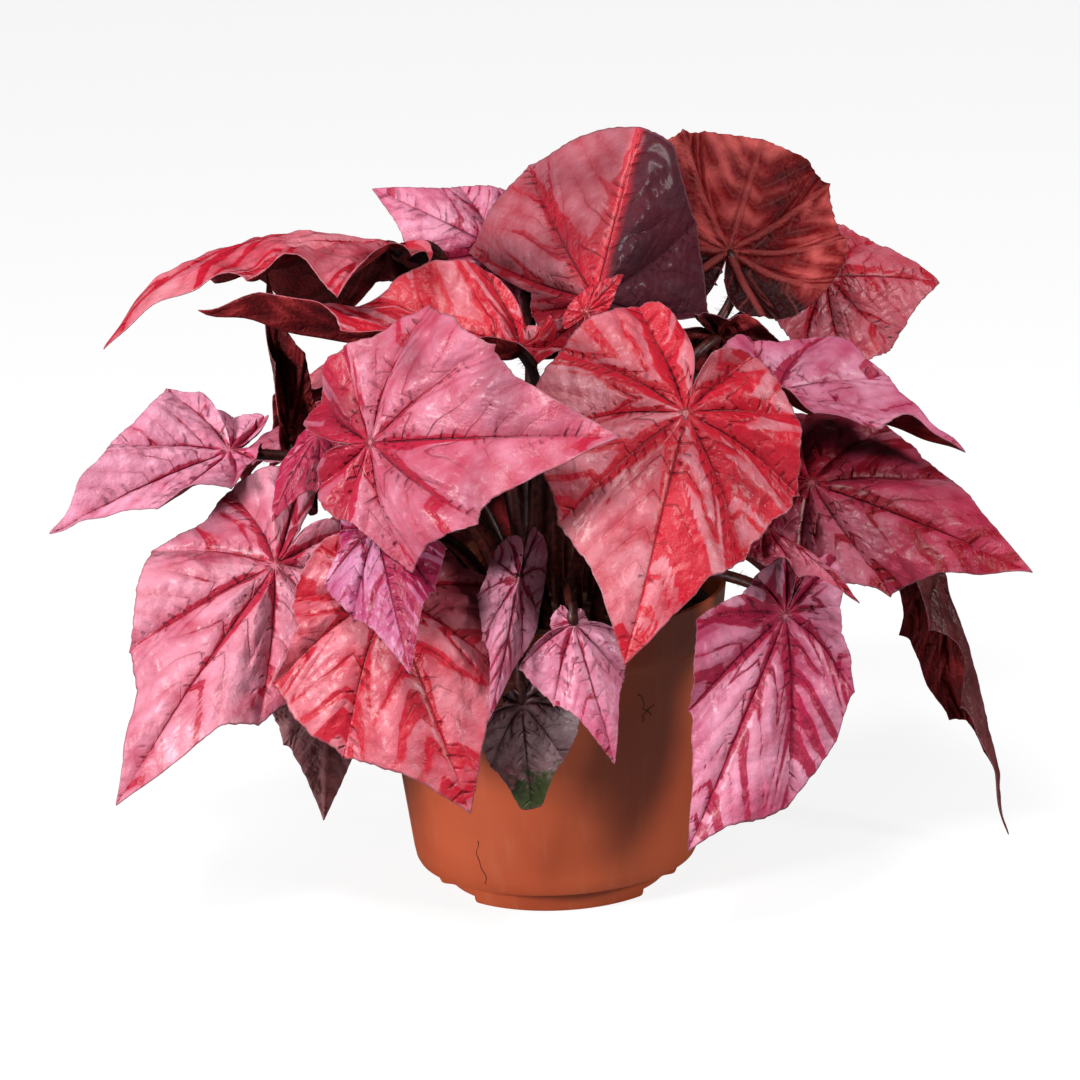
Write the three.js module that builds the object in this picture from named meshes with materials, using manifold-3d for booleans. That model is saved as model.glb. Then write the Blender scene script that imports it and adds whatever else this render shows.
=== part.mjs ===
// Potted painted-leaf begonia: a plastic nursery pot filled with compost, a knobby crown at the
// surface, and one solid for each leaf with its stalk. Millimetres, +Z up, origin at the middle of
// the flat underside of the pot. The plant's front is towards -Y.
import * as THREE from "three";
import { mergeVertices } from "three/addons/utils/BufferGeometryUtils.js";
import Module from "manifold-3d";

const wasm = await Module();
wasm.setup();

// ---- driving dimensions -------------------------------------------------------------------------
const POT_RIM_R = 65; // outer radius at the rim
const POT_BASE_R = 51.5; // outer radius where the wall ends, above the foot
const POT_H = 110;
const POT_WALL = 1.6;
const POT_SIDES = 36;
const COLLAR_H = 18; // height of the slightly wider band under the rim
const COLLAR_STEP = 0.9; // how far that band stands out
const FOOT_R = 44;
const FOOT_H = 8;
const FOOT_NOTCH_DEG = 28; // three gaps part the foot into three lobes
const FOOT_NOTCH_DEPTH = 4;
const DRAIN_R = 3.5;
const DRAIN_RING_R = 27;
const DRAIN_COUNT = 6;

const GAP = 0.3; // clearance between pieces that touch
const SOIL_EDGE_Z = 99; // height of the compost where it meets the wall
const SOIL_MOUND = 3;
const CROWN_R = 34;
const CROWN_SUNK = 9; // how deep the crown sits in the compost
const CROWN_TOP_Z = 105;

const STALK_R = 2.2;
const STALK_SIDES = 6;
const STALK_STEPS = 5;
const STALK_ROOT = 7; // length that stands in its hole
const STALK_RISE = 0.25; // how straight it rises, and how it nears the blade from below and
const NECK_DROP = 0.14; // behind, as shares of the distance from hole to blade
const NECK_BEHIND = 0.16;
const BLADE_T = 0.9;
const RIB_RELIEF = 0.02; // rise of the panels between the ribs, as a share of the leaf's length
const MARGIN_WAVE = 0.03; // wave of the margin, as a share of the leaf's length

// Leaf outline: turn from the midrib in degrees, reach of the broad half and of the narrow half as
// a share of the leaf's length, and the relief there (-1 on a rib, +1 on the panel between two).
const OUTLINE = [
  { turn: 0, broad: 1.0, narrow: 1.0, rib: -1 },
  { turn: 17, broad: 0.69, narrow: 0.67, rib: 1 },
  { turn: 34, broad: 0.61, narrow: 0.57, rib: -1 },
  { turn: 54, broad: 0.58, narrow: 0.51, rib: 1 },
  { turn: 74, broad: 0.57, narrow: 0.5, rib: -1 },
  { turn: 93, broad: 0.54, narrow: 0.44, rib: 1 },
  { turn: 112, broad: 0.56, narrow: 0.44, rib: -1 },
  { turn: 131, broad: 0.53, narrow: 0.4, rib: 1 },
  { turn: 150, broad: 0.52, narrow: 0.39, rib: -1 },
  { turn: 166, broad: 0.42, narrow: 0.3, rib: 1 },
  { turn: 180, broad: 0.07, narrow: 0.07, rib: 0 },
];
const FRONT_DEG = 74; // the outline's front part, which a full leaf has wider, ends here
const RINGS = [0.36, 0.7, 1];

// Where each leaf stands. base: stalk joint; tip: point of the leaf; face: the way its upper side
// looks; side: which half is the broad one; wide: breadth; arch: bend of the midrib along its
// length; fold: slope of the halves away from the midrib (negative is a trough); curl: further
// roll of the halves towards their margins; twist: turn of the blade from base to tip; heel:
// reach of the lobes behind the stalk joint; blunt: greatest reach, where the tip is lost; full:
// extra reach of the broad half in front of the joint; rise: how straight the stalk rises; neck:
// point that the stalk bends towards before the joint.
const LEAVES = [
  // front
  { name: "leaf_front_right", base: [50, -72, 189], tip: [25, -114, 113], face: [0.1, -0.85, 0.5],
    side: -1, wide: 1.05, arch: 28, fold: 6, curl: 20, tone: "crimson" },
  { name: "leaf_front_left", base: [-58, -67, 182], tip: [26, -113, 193], face: [0.05, -0.9, 0.38],
    side: 1, wide: 0.9, arch: 30, fold: -5, curl: 22, heel: 0.75, tone: "salmon" },
  { name: "leaf_lilac", base: [-57, -74, 154], tip: [-47, -109, 112], face: [-0.1, -0.85, 0.5],
    side: -1, wide: 0.9, arch: 20, fold: 25, curl: 10, heel: 0.6, tone: "lilac" },
  { name: "leaf_low_centre", base: [-54, -73, 130], tip: [-29, -97, 57], face: [0, -0.9, 0.45],
    side: -1, wide: 1.08, arch: 25, fold: 5, curl: 20, heel: 0.7, full: 0.08, tone: "coral" },
  { name: "leaf_centre_folded", base: [-9, -76, 134], tip: [-21, -97, 90], face: [0.3, -0.9, 0.3],
    side: 1, wide: 0.6, arch: 20, fold: 35, curl: 10, tone: "pink" },
  { name: "leaf_low_pale", base: [9, -80, 118], tip: [21, -95, 72], face: [0.2, -0.9, 0.4],
    side: -1, wide: 0.9, arch: 20, fold: 20, curl: 20, heel: 0.35,
    neck: [8, -78, 136], tone: "pink" },
  { name: "leaf_old", base: [-10, -77, 89], tip: [-8, -75, 42], face: [0.15, -1, 0],
    side: 1, wide: 0.85, arch: 10, fold: 10, curl: 10, heel: 0.4, blunt: 0.82,
    neck: [-11, -84, 130], tone: "old" },
  // top
  { name: "leaf_top_centre", base: [22, 8, 212], tip: [47, 55, 285], face: [0.12, -0.8, 0.57],
    side: 1, wide: 1.26, arch: 20, fold: 34, curl: 12, heel: 0.45, blunt: 0.74, full: 0.08,
    tone: "crimson" },
  { name: "leaf_top_pink", base: [-12, 60, 220], tip: [-58, 78, 241], face: [-0.1, -0.8, 0.6],
    side: 1, wide: 1, arch: 20, fold: 10, curl: 20, rise: 0.4, tone: "pink" },
  { name: "leaf_top_right", base: [72, 61, 215], tip: [96, 100, 272], face: [0, 0.9, -0.2],
    side: -1, wide: 1.22, arch: 30, fold: 5, curl: 30, heel: 1.15, blunt: 0.66,
    neck: [90, 44, 190], tone: "maroon" },
  { name: "leaf_top_left", base: [-52, 18, 234], tip: [-156, -8, 208], face: [0, 0.4, 0.9],
    side: -1, wide: 0.85, arch: 75, fold: 24, curl: 5, twist: -30, heel: 0.5, tone: "coral" },
  { name: "leaf_upper_left", base: [-6, -25, 203], tip: [-117, -11, 221], face: [-0.1, -0.3, 0.95],
    side: 1, wide: 0.56, arch: -12, fold: -25, curl: -10, twist: 25, heel: 0.4, tone: "crimson" },
  { name: "leaf_young_top", base: [18, -35, 217], tip: [32, -25, 228], face: [0.1, -0.8, 0.6],
    side: 1, wide: 0.6, arch: 40, fold: 10, curl: 20, neck: [15, -30, 205], tone: "crimson" },
  // right-hand side
  { name: "leaf_high_right", base: [108, 66, 204], tip: [152, 84, 195], face: [0.1, -0.8, 0.6],
    side: -1, wide: 1.25, arch: 20, fold: 15, curl: 10, full: 0.1, tone: "coral" },
  { name: "leaf_right_pink", base: [85, -20, 183], tip: [151, -18, 158], face: [0.05, -0.25, 1],
    side: 1, wide: 0.8, arch: 15, fold: -18, curl: 0, heel: 0.75, tone: "pink" },
  { name: "leaf_right_burgundy", base: [95, -25, 150], tip: [170, -45, 119], face: [0, -0.65, 0.75],
    side: 1, wide: 0.95, arch: 20, fold: 10, curl: 20, tone: "burgundy" },
  { name: "leaf_right_low", base: [82, -70, 115], tip: [45, -88, 37], face: [0.1, -0.9, 0.4],
    side: 1, wide: 0.64, arch: 25, fold: 5, curl: 20, heel: 0.64, full: 0.2,
    rise: 0.3, tone: "pink" },
  { name: "leaf_right_curled", base: [76, -72, 148], tip: [106, -86, 123], face: [0.35, -0.3, 0.85],
    side: 1, wide: 0.5, arch: 30, fold: 35, curl: 30, tone: "burgundy" },
  { name: "leaf_right_hanging", base: [145, 12, 104], tip: [166, 0, 6], face: [0.85, 0.45, 0.25],
    side: 1, wide: 0.42, arch: 20, fold: 60, curl: 20, tone: "maroon" },
  { name: "leaf_shade_right", base: [66, 20, 194], tip: [101, 40, 169], face: [0.1, 0.9, 0.3],
    side: 1, wide: 0.6, arch: 20, fold: 10, curl: 20, tone: "maroon" },
  { name: "leaf_shade_low", base: [79, 10, 157], tip: [116, 25, 140], face: [0.2, -0.8, 0.6],
    side: 1, wide: 0.8, arch: 30, fold: 20, curl: 20, tone: "burgundy" },
  // left-hand side
  { name: "leaf_left_mid", base: [-110, -8, 166], tip: [-174, -30, 145], face: [-0.2, -0.6, 0.75],
    side: -1, wide: 0.75, arch: 20, fold: -20, curl: -5, heel: 0.5, rise: 0.4, tone: "pink" },
  { name: "leaf_left_low", base: [-94, -46, 134], tip: [-152, -78, 59], face: [-0.3, -0.9, 0.3],
    side: -1, wide: 0.8, arch: 25, fold: 8, curl: 14, heel: 0.8, rise: 0, tone: "salmon" },
  { name: "leaf_left_strap", base: [-92, 20, 161], tip: [-95, 25, 222], face: [-0.5, 0.8, 0],
    side: 1, wide: 0.5, arch: 10, fold: 55, curl: 10, rise: 0.4, tone: "maroon" },
  { name: "leaf_left_under", base: [-78, -22, 91], tip: [-83, -32, 34], face: [0.1, 0.9, 0.3],
    side: 1, wide: 0.75, arch: 10, fold: 10, curl: 10, neck: [-80, -22, 127], tone: "maroon" },
  { name: "leaf_young_left", base: [-77, -30, 177], tip: [-95, -50, 151], face: [-0.3, -0.8, 0.5],
    side: 1, wide: 0.8, arch: 30, fold: 30, curl: 30, tone: "pink" },
  // back
  { name: "leaf_back_1", base: [-44, 84, 190], tip: [-106, 118, 127], face: [-0.4, 0.5, 0.75],
    side: 1, wide: 0.9, arch: 40, fold: 12, curl: 20, heel: 0.45, rise: 0.1, tone: "coral" },
  { name: "leaf_back_2", base: [20, 84, 216], tip: [35, 154, 170], face: [0, 0.55, 0.8],
    side: -1, wide: 1, arch: 40, fold: 12, curl: 20, heel: 0.7, tone: "crimson" },
  { name: "leaf_back_3", base: [80, 79, 178], tip: [140, 131, 134], face: [0.5, 0.5, 0.7],
    side: 1, wide: 0.9, arch: 40, fold: 12, curl: 20, heel: 0.7, tone: "pink" },
  { name: "leaf_back_4", base: [-60, 50, 130], tip: [-112, 112, 60], face: [-0.5, 0.7, 0.5],
    side: 1, wide: 0.9, arch: 35, fold: 12, curl: 20, heel: 0.7, rise: 0, tone: "salmon" },
  { name: "leaf_back_5", base: [-18, 75, 140], tip: [-34, 132, 55], face: [0, 0.85, 0.5],
    side: -1, wide: 0.75, arch: 35, fold: 12, curl: 20, heel: 0.8, tone: "pink" },
  { name: "leaf_back_6", base: [63, 69, 130], tip: [98, 116, 55], face: [0.42, 0.8, 0.45],
    side: 1, wide: 0.75, arch: 35, fold: 12, curl: 20, heel: 0.7, rise: 0, tone: "crimson" },
  { name: "leaf_back_7", base: [-70, 45, 172], tip: [-116, 98, 126], face: [-0.6, 0.3, 0.75],
    side: -1, wide: 0.8, arch: 35, fold: 12, curl: 20, heel: 0.7, tone: "salmon" },
  { name: "leaf_back_8", base: [92, 59, 144], tip: [130, 109, 84], face: [0.6, 0.5, 0.6],
    side: -1, wide: 0.8, arch: 35, fold: 12, curl: 20, heel: 0.7, rise: 0.35, tone: "coral" },
];

const TONES = {
  crimson: "#c2303a",
  salmon: "#dc8088",
  coral: "#d9646a",
  pink: "#dd86a4",
  lilac: "#cf93b8",
  burgundy: "#96294c",
  maroon: "#5a1a1c",
  old: "#5d5148",
};

// ---- solids -------------------------------------------------------------------------------------
function toSolid(geometry) {
  const bare = new THREE.BufferGeometry();
  bare.setAttribute("position", geometry.getAttribute("position").clone());
  if (geometry.index) bare.setIndex(geometry.index.clone());
  const merged = mergeVertices(bare, 1e-3);
  return new wasm.Manifold(
    new wasm.Mesh({
      numProp: 3,
      vertProperties: merged.attributes.position.array,
      triVerts: new Uint32Array(merged.index.array),
    }),
  );
}

function toMesh(solid, name, color, roughness) {
  const mesh = solid.getMesh();
  const points = new Float32Array(mesh.numVert * 3);
  for (let i = 0; i < mesh.numVert; i++) {
    points.set(mesh.vertProperties.subarray(i * mesh.numProp, i * mesh.numProp + 3), i * 3);
  }
  const geometry = new THREE.BufferGeometry();
  geometry.setAttribute("position", new THREE.BufferAttribute(points, 3));
  geometry.setIndex(new THREE.BufferAttribute(new Uint32Array(mesh.triVerts), 1));
  geometry.computeVertexNormals();
  const material = new THREE.MeshStandardMaterial({ color, roughness, metalness: 0 });
  const made = new THREE.Mesh(geometry, material);
  made.name = name;
  return made;
}

// Where a join leaves a crumb beside the piece, the crumb is dropped.
function largestBody(solid) {
  return solid.decompose().reduce((most, body) => (body.volume() > most.volume() ? body : most));
}

// A profile of [radius, height] pairs turned about +Z.
function turned(profile, sides) {
  const lathe = new THREE.LatheGeometry(
    profile.map(([r, z]) => new THREE.Vector2(r, z)),
    sides,
  );
  lathe.rotateX(Math.PI / 2);
  return toSolid(lathe);
}

// A flat outline raised from height z0 to z1.
function raised(shape, z0, z1, curveSegments = 12) {
  const made = new THREE.ExtrudeGeometry(shape, {
    depth: z1 - z0,
    bevelEnabled: false,
    curveSegments,
  });
  made.translate(0, 0, z0);
  return toSolid(made);
}

function prism(x, y, radius, sides, z0, z1) {
  const shape = new THREE.Shape();
  for (let i = 0; i < sides; i++) {
    const a = (2 * Math.PI * i) / sides;
    const p = [x + radius * Math.cos(a), y + radius * Math.sin(a)];
    if (i) shape.lineTo(...p);
    else shape.moveTo(...p);
  }
  shape.closePath();
  return raised(shape, z0, z1);
}

// ---- pot ----------------------------------------------------------------------------------------
// Outer radius of the wall at a height, without the collar's step.
function wallRadius(z) {
  return POT_BASE_R + ((POT_RIM_R - COLLAR_STEP - POT_BASE_R) * (z - FOOT_H)) / (POT_H - FOOT_H);
}

// Foot outline: three round lobes parted by three shallow notches.
function footShape(inset) {
  const shape = new THREE.Shape();
  const notch = THREE.MathUtils.degToRad(FOOT_NOTCH_DEG) / 2;
  const lobe = (2 * Math.PI) / 3;
  for (let k = 0; k < 3; k++) {
    const middle = -Math.PI / 2 + k * lobe;
    const start = middle - lobe / 2 + notch;
    const end = middle + lobe / 2 - notch;
    const low = FOOT_R - FOOT_NOTCH_DEPTH - inset;
    shape.absarc(0, 0, FOOT_R - inset, start, end, false);
    shape.absarc(0, 0, low, end + 0.05, end + 2 * notch - 0.05, false);
  }
  shape.closePath();
  return shape;
}

function makePot() {
  const collarZ = POT_H - COLLAR_H;
  const outer = turned(
    [
      [0, FOOT_H],
      [POT_BASE_R, FOOT_H],
      [wallRadius(collarZ - 1), collarZ - 1],
      [wallRadius(collarZ) + COLLAR_STEP, collarZ],
      [POT_RIM_R, POT_H],
      [0, POT_H],
    ],
    POT_SIDES,
  ).add(raised(footShape(0), 0, FOOT_H + 0.5, 10));
  const floor = FOOT_H + POT_WALL;
  const inner = turned(
    [
      [0, floor],
      [wallRadius(floor) - POT_WALL, floor],
      [wallRadius(collarZ) - POT_WALL, collarZ],
      [POT_RIM_R - POT_WALL, POT_H + 1],
      [0, POT_H + 1],
    ],
    POT_SIDES,
  ).add(raised(footShape(POT_WALL), POT_WALL, floor + 0.5, 10));
  let pot = outer.subtract(inner);
  for (let k = 0; k < DRAIN_COUNT; k++) {
    const a = (2 * Math.PI * k) / DRAIN_COUNT;
    const x = DRAIN_RING_R * Math.cos(a);
    const y = DRAIN_RING_R * Math.sin(a);
    pot = pot.subtract(prism(x, y, DRAIN_R, 8, -1, POT_WALL + 1));
  }
  return pot;
}

// ---- crown and compost --------------------------------------------------------------------------
// Height of the compost at a distance from the middle: a low mound.
function soilHeight(r) {
  const reach = wallRadius(SOIL_EDGE_Z) - POT_WALL - GAP;
  return SOIL_EDGE_Z + SOIL_MOUND * Math.cos((Math.PI / 2) * Math.min(1, r / reach));
}

const crownFloor = soilHeight(CROWN_R) - CROWN_SUNK;

// The crown: a low dome of rounded knobs, set by a formula.
function crownHeight(x, y) {
  const r = Math.hypot(x, y) / CROWN_R;
  const knobs = Math.sin(x * 0.55 + 1) * Math.cos(y * 0.6);
  return CROWN_TOP_Z - 4.5 * r * r + 1.1 * knobs * (1 - r * r);
}

function makeCrown(holes) {
  const rings = 4;
  const sides = 20;
  const points = [[0, 0, crownHeight(0, 0)]];
  for (let i = 1; i <= rings; i++) {
    for (let j = 0; j < sides; j++) {
      const a = (2 * Math.PI * j) / sides;
      const x = (CROWN_R * i * Math.cos(a)) / rings;
      const y = (CROWN_R * i * Math.sin(a)) / rings;
      points.push([x, y, crownHeight(x, y)]);
    }
  }
  const lower = points.length;
  for (let j = 0; j < sides; j++) {
    const a = (2 * Math.PI * j) / sides;
    points.push([CROWN_R * Math.cos(a), CROWN_R * Math.sin(a), crownFloor + GAP]);
  }
  points.push([0, 0, crownFloor + GAP]);
  const index = [];
  for (let j = 0; j < sides; j++) {
    const k = (j + 1) % sides;
    index.push(0, 1 + j, 1 + k);
    for (let i = 0; i < rings - 1; i++) {
      const a = 1 + i * sides;
      const b = a + sides;
      index.push(a + j, b + j, b + k, a + j, b + k, a + k);
    }
    const top = 1 + (rings - 1) * sides;
    index.push(top + j, lower + j, lower + k, top + j, lower + k, top + k);
    index.push(points.length - 1, lower + k, lower + j);
  }
  let crown = solidFrom(points, index);
  for (const [x, y] of holes) {
    const top = CROWN_TOP_Z + 5;
    const foot = crownHeight(x, y) - STALK_ROOT - GAP;
    crown = crown.subtract(prism(x, y, STALK_R + GAP + 0.1, STALK_SIDES, foot, top));
  }
  return crown;
}

function makeSoil() {
  const wall = (z) => wallRadius(z) - POT_WALL - GAP;
  const floor = FOOT_H + POT_WALL + GAP;
  const inFoot = FOOT_R - FOOT_NOTCH_DEPTH - POT_WALL - 2 * GAP;
  const rim = wall(SOIL_EDGE_Z);
  const profile = [
    [0, POT_WALL + GAP],
    [inFoot, POT_WALL + GAP],
    [inFoot, floor],
    [wall(floor) - GAP, floor],
    [rim - GAP, SOIL_EDGE_Z],
  ];
  for (let i = 1; i <= 3; i++) {
    const r = rim - ((rim - CROWN_R) * i) / 4;
    profile.push([r, soilHeight(r) + (i % 2 ? 0.8 : -0.6)]);
  }
  profile.push([CROWN_R + 4 * GAP, soilHeight(CROWN_R)]);
  profile.push([CROWN_R + 4 * GAP, crownFloor]);
  profile.push([0, crownFloor]);
  return turned(profile, POT_SIDES / 2);
}

function solidFrom(points, index) {
  const geometry = new THREE.BufferGeometry();
  geometry.setAttribute("position", new THREE.Float32BufferAttribute(points.flat(), 3));
  geometry.setIndex(index);
  return toSolid(geometry);
}

// ---- leaves -------------------------------------------------------------------------------------
const rad = THREE.MathUtils.degToRad;

// The leaf's own directions: along the midrib, across, and out of its upper side, and its length.
function leafFrame(leaf) {
  const base = new THREE.Vector3(...leaf.base);
  const along = new THREE.Vector3(...leaf.tip).sub(base);
  const chord = along.length();
  along.divideScalar(chord);
  const up = new THREE.Vector3(...leaf.face);
  up.addScaledVector(along, -up.dot(along)).normalize();
  const across = new THREE.Vector3().crossVectors(up, along);
  const bow = rad(leaf.arch) / 2;
  return { base, along, up, across, bow, length: (chord * bow) / Math.sin(bow) };
}

// A point of the blade's middle surface: share of the way out to the margin, and turn from the
// midrib. The halves roll about the midrib, and the midrib is an arc of a circle.
function bladePoint(leaf, frame, share, point, sign) {
  const { base, along, up, across, bow, length } = frame;
  const heel = point.turn > 90 ? (leaf.heel ?? 1) : 1;
  const front = Math.sin((Math.PI * Math.min(point.turn, FRONT_DEG)) / FRONT_DEG);
  const half =
    sign * leaf.side >= 0 ? point.broad + (leaf.full ?? 0) * front : point.narrow;
  const reach = Math.min(half * heel, leaf.blunt ?? 1);
  const turn = rad(point.turn) * sign;
  const a = reach * length * share * Math.cos(turn);
  const b = reach * length * share * Math.sin(turn) * leaf.wide;
  const fold = rad(leaf.fold);
  const roll = rad(leaf.curl) / (length / 2);
  const out = Math.abs(b);
  let w = out * Math.cos(fold);
  let h = -out * Math.sin(fold);
  if (Math.abs(roll) > 1e-9) {
    w = (Math.sin(fold + roll * out) - Math.sin(fold)) / roll;
    h = (Math.cos(fold + roll * out) - Math.cos(fold)) / roll;
  }
  w *= Math.sign(b);
  h += RIB_RELIEF * length * share * point.rib;
  h += MARGIN_WAVE * length * share * share * Math.sin(5 * turn + leaf.base[0]);
  const twist = (rad(leaf.twist ?? 0) * a) / length;
  const side = w * Math.cos(twist) - h * Math.sin(twist);
  const rise = w * Math.sin(twist) + h * Math.cos(twist);
  const bend = (2 * bow) / length;
  const slope = bow - bend * Math.max(a, 0);
  const behind = Math.min(a, 0);
  const forward = (Math.sin(bow) - Math.sin(slope)) / bend + behind * Math.cos(bow);
  const lift = (Math.cos(slope) - Math.cos(bow)) / bend + behind * Math.sin(bow);
  return base
    .clone()
    .addScaledVector(along, forward - rise * Math.sin(slope))
    .addScaledVector(up, lift + rise * Math.cos(slope))
    .addScaledVector(across, side);
}

// Blade: upper and lower faces split alike into triangles, closed by a strip round the margin. The
// inner ring has a point on each rib only, and the rings outside it one on each panel too.
function makeBlade(leaf, frame) {
  const left = OUTLINE.map((p) => [p, 1]);
  const right = OUTLINE.slice(1, -1).reverse().map((p) => [p, -1]);
  const around = [...left, ...right];
  const count = around.length;
  const ribs = count / 2;
  const middle = [frame.base.clone()];
  RINGS.forEach((share, i) => {
    around.forEach(([p, sign], j) => {
      if (i || j % 2 === 0) middle.push(bladePoint(leaf, frame, share, p, sign));
    });
  });
  const faces = [];
  for (let j = 0; j < ribs; j++) {
    const k = (j + 1) % ribs;
    const a = 1 + ribs + 2 * j;
    const b = 1 + ribs + ((2 * j + 2) % count);
    faces.push([0, 1 + j, 1 + k], [1 + j, a, a + 1], [1 + j, a + 1, 1 + k], [1 + k, a + 1, b]);
  }
  const last = 1 + ribs + (RINGS.length - 2) * count;
  for (let a = 1 + ribs; a < last; a += count) {
    for (let j = 0; j < count; j++) {
      const k = (j + 1) % count;
      const b = a + count;
      faces.push([a + j, b + j, b + k], [a + j, b + k, a + k]);
    }
  }
  const normals = middle.map(() => new THREE.Vector3());
  for (const [a, b, c] of faces) {
    const n = new THREE.Vector3()
      .subVectors(middle[b], middle[a])
      .cross(new THREE.Vector3().subVectors(middle[c], middle[a]));
    for (const i of [a, b, c]) normals[i].add(n);
  }
  const points = [];
  for (const sign of [1, -1]) {
    middle.forEach((p, i) => {
      const n = normals[i].clone().normalize();
      points.push(p.clone().addScaledVector(n, (sign * BLADE_T) / 2).toArray());
    });
  }
  const total = middle.length;
  const index = [];
  for (const [a, b, c] of faces) index.push(a, b, c, total + a, total + c, total + b);
  for (let j = 0; j < count; j++) {
    const a = last + j;
    const b = last + ((j + 1) % count);
    index.push(a, total + a, total + b, a, total + b, b);
  }
  return solidFrom(points, index);
}

// Stalk: straight out of its hole, then a curve that meets the blade from below and behind, and
// ends inside its thickness.
function makeStalk(leaf, frame, hole) {
  const [x, y] = hole;
  const z = crownHeight(x, y);
  const start = new THREE.Vector3(x, y, z + 2);
  const end = frame.base.clone().addScaledVector(frame.up, -0.4 * BLADE_T);
  const span = start.distanceTo(end);
  const climb = STALK_RISE * Math.abs(end.z - start.z);
  const lean = new THREE.Vector3(0, 0, (leaf.rise ?? STALK_RISE) * span + climb);
  const neck = end
    .clone()
    .addScaledVector(frame.up, -NECK_DROP * span)
    .addScaledVector(frame.along, -NECK_BEHIND * span);
  if (leaf.neck) neck.set(...leaf.neck);
  const curve = new THREE.CubicBezierCurve3(start, start.clone().add(lean), neck, end);
  const path = [new THREE.Vector3(x, y, z - STALK_ROOT), start];
  const tangents = [new THREE.Vector3(0, 0, 1), new THREE.Vector3(0, 0, 1)];
  for (let i = 1; i <= STALK_STEPS; i++) {
    path.push(curve.getPoint(i / STALK_STEPS));
    tangents.push(curve.getTangent(i / STALK_STEPS));
  }
  const turn = new THREE.Quaternion();
  const reference = new THREE.Vector3(1, 0, 0);
  const points = [];
  path.forEach((p, i) => {
    if (i) reference.applyQuaternion(turn.setFromUnitVectors(tangents[i - 1], tangents[i]));
    const second = new THREE.Vector3().crossVectors(tangents[i], reference);
    const radius = i === path.length - 1 ? 0.35 * STALK_R : STALK_R * (1 - 0.02 * i);
    for (let j = 0; j < STALK_SIDES; j++) {
      const a = (2 * Math.PI * j) / STALK_SIDES;
      points.push(
        p
          .clone()
          .addScaledVector(reference, radius * Math.cos(a))
          .addScaledVector(second, radius * Math.sin(a))
          .toArray(),
      );
    }
  });
  const index = [];
  const rows = path.length;
  for (let i = 0; i < rows - 1; i++) {
    for (let j = 0; j < STALK_SIDES; j++) {
      const k = (j + 1) % STALK_SIDES;
      const a = i * STALK_SIDES;
      const b = a + STALK_SIDES;
      index.push(a + j, a + k, b + k, a + j, b + k, b + j);
    }
  }
  const top = (rows - 1) * STALK_SIDES;
  for (let j = 1; j < STALK_SIDES - 1; j++) {
    index.push(0, j + 1, j, top, top + j, top + j + 1);
  }
  return solidFrom(points, index);
}

// Stalk holes: three rings in the crown. The lowest leaves take the outer ring. Within a ring each
// hole lies on its leaf's own bearing, moved round just enough to keep the holes apart.
const HOLE_RINGS = [
  { count: 6, radius: 9 },
  { count: 12, radius: 18 },
  { count: 16, radius: 27.5 },
];
const HOLE_SPACING = 7.2;

function holesFor(leaves) {
  const byHeight = [...leaves].sort((p, q) => q.base[2] - p.base[2]);
  const holes = new Map();
  let from = 0;
  for (const ring of HOLE_RINGS) {
    const bearing = (leaf) => Math.atan2(leaf.base[1], leaf.base[0]);
    const group = byHeight.slice(from, from + ring.count).sort((p, q) => bearing(p) - bearing(q));
    from += ring.count;
    const turns = group.map(bearing);
    const least = HOLE_SPACING / ring.radius;
    for (let pass = 0; pass < 200; pass++) {
      for (let i = 0; i < turns.length; i++) {
        const k = (i + 1) % turns.length;
        const between = turns[k] - turns[i] + (k ? 0 : 2 * Math.PI);
        const push = Math.max(0, least - between) / 2;
        turns[i] -= push;
        turns[k] += push;
      }
    }
    group.forEach((leaf, i) => {
      holes.set(leaf.name, [ring.radius * Math.cos(turns[i]), ring.radius * Math.sin(turns[i])]);
    });
  }
  return holes;
}

// ---- the whole plant ----------------------------------------------------------------------------
const group = new THREE.Group();
const holes = holesFor(LEAVES);
group.add(toMesh(makePot(), "pot", "#b4532f", 0.45));
group.add(toMesh(makeSoil(), "soil", "#2a1f18", 0.95));
group.add(toMesh(makeCrown([...holes.values()]), "crown", "#5b3a26", 0.85));
for (const leaf of LEAVES) {
  const frame = leafFrame(leaf);
  const solid = makeBlade(leaf, frame).add(makeStalk(leaf, frame, holes.get(leaf.name)));
  group.add(toMesh(largestBody(solid), leaf.name, TONES[leaf.tone], 0.4));
}

export default group;
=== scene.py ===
import math

import bpy
import numpy as np
from mathutils import Matrix, Vector


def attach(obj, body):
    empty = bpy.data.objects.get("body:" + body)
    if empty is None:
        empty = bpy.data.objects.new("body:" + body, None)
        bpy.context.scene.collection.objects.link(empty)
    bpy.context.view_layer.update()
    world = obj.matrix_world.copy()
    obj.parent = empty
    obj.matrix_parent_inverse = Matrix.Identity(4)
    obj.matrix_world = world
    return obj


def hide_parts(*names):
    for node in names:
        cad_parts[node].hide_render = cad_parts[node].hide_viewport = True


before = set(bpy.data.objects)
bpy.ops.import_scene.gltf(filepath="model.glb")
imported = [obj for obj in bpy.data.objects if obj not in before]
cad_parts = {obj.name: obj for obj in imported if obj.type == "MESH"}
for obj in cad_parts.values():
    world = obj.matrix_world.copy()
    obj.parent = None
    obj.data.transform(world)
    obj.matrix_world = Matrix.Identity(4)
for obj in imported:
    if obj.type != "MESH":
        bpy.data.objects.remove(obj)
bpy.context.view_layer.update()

# ---- pot ----------------------------------------------------------------------------------------
# The pot is a round tapered nursery pot of terracotta-coloured polypropylene, injection moulded in
# one shot: a thin wall with a slightly wider band under the rim, and a foot of three low lobes.
MM = 0.001
POT_RIM_R = 65.0
POT_BASE_R = 51.5
POT_H = 110.0
POT_WALL = 1.6
COLLAR_H = 18.0
COLLAR_STEP = 0.9
FOOT_R = 44.0
FOOT_H = 8.0
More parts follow.
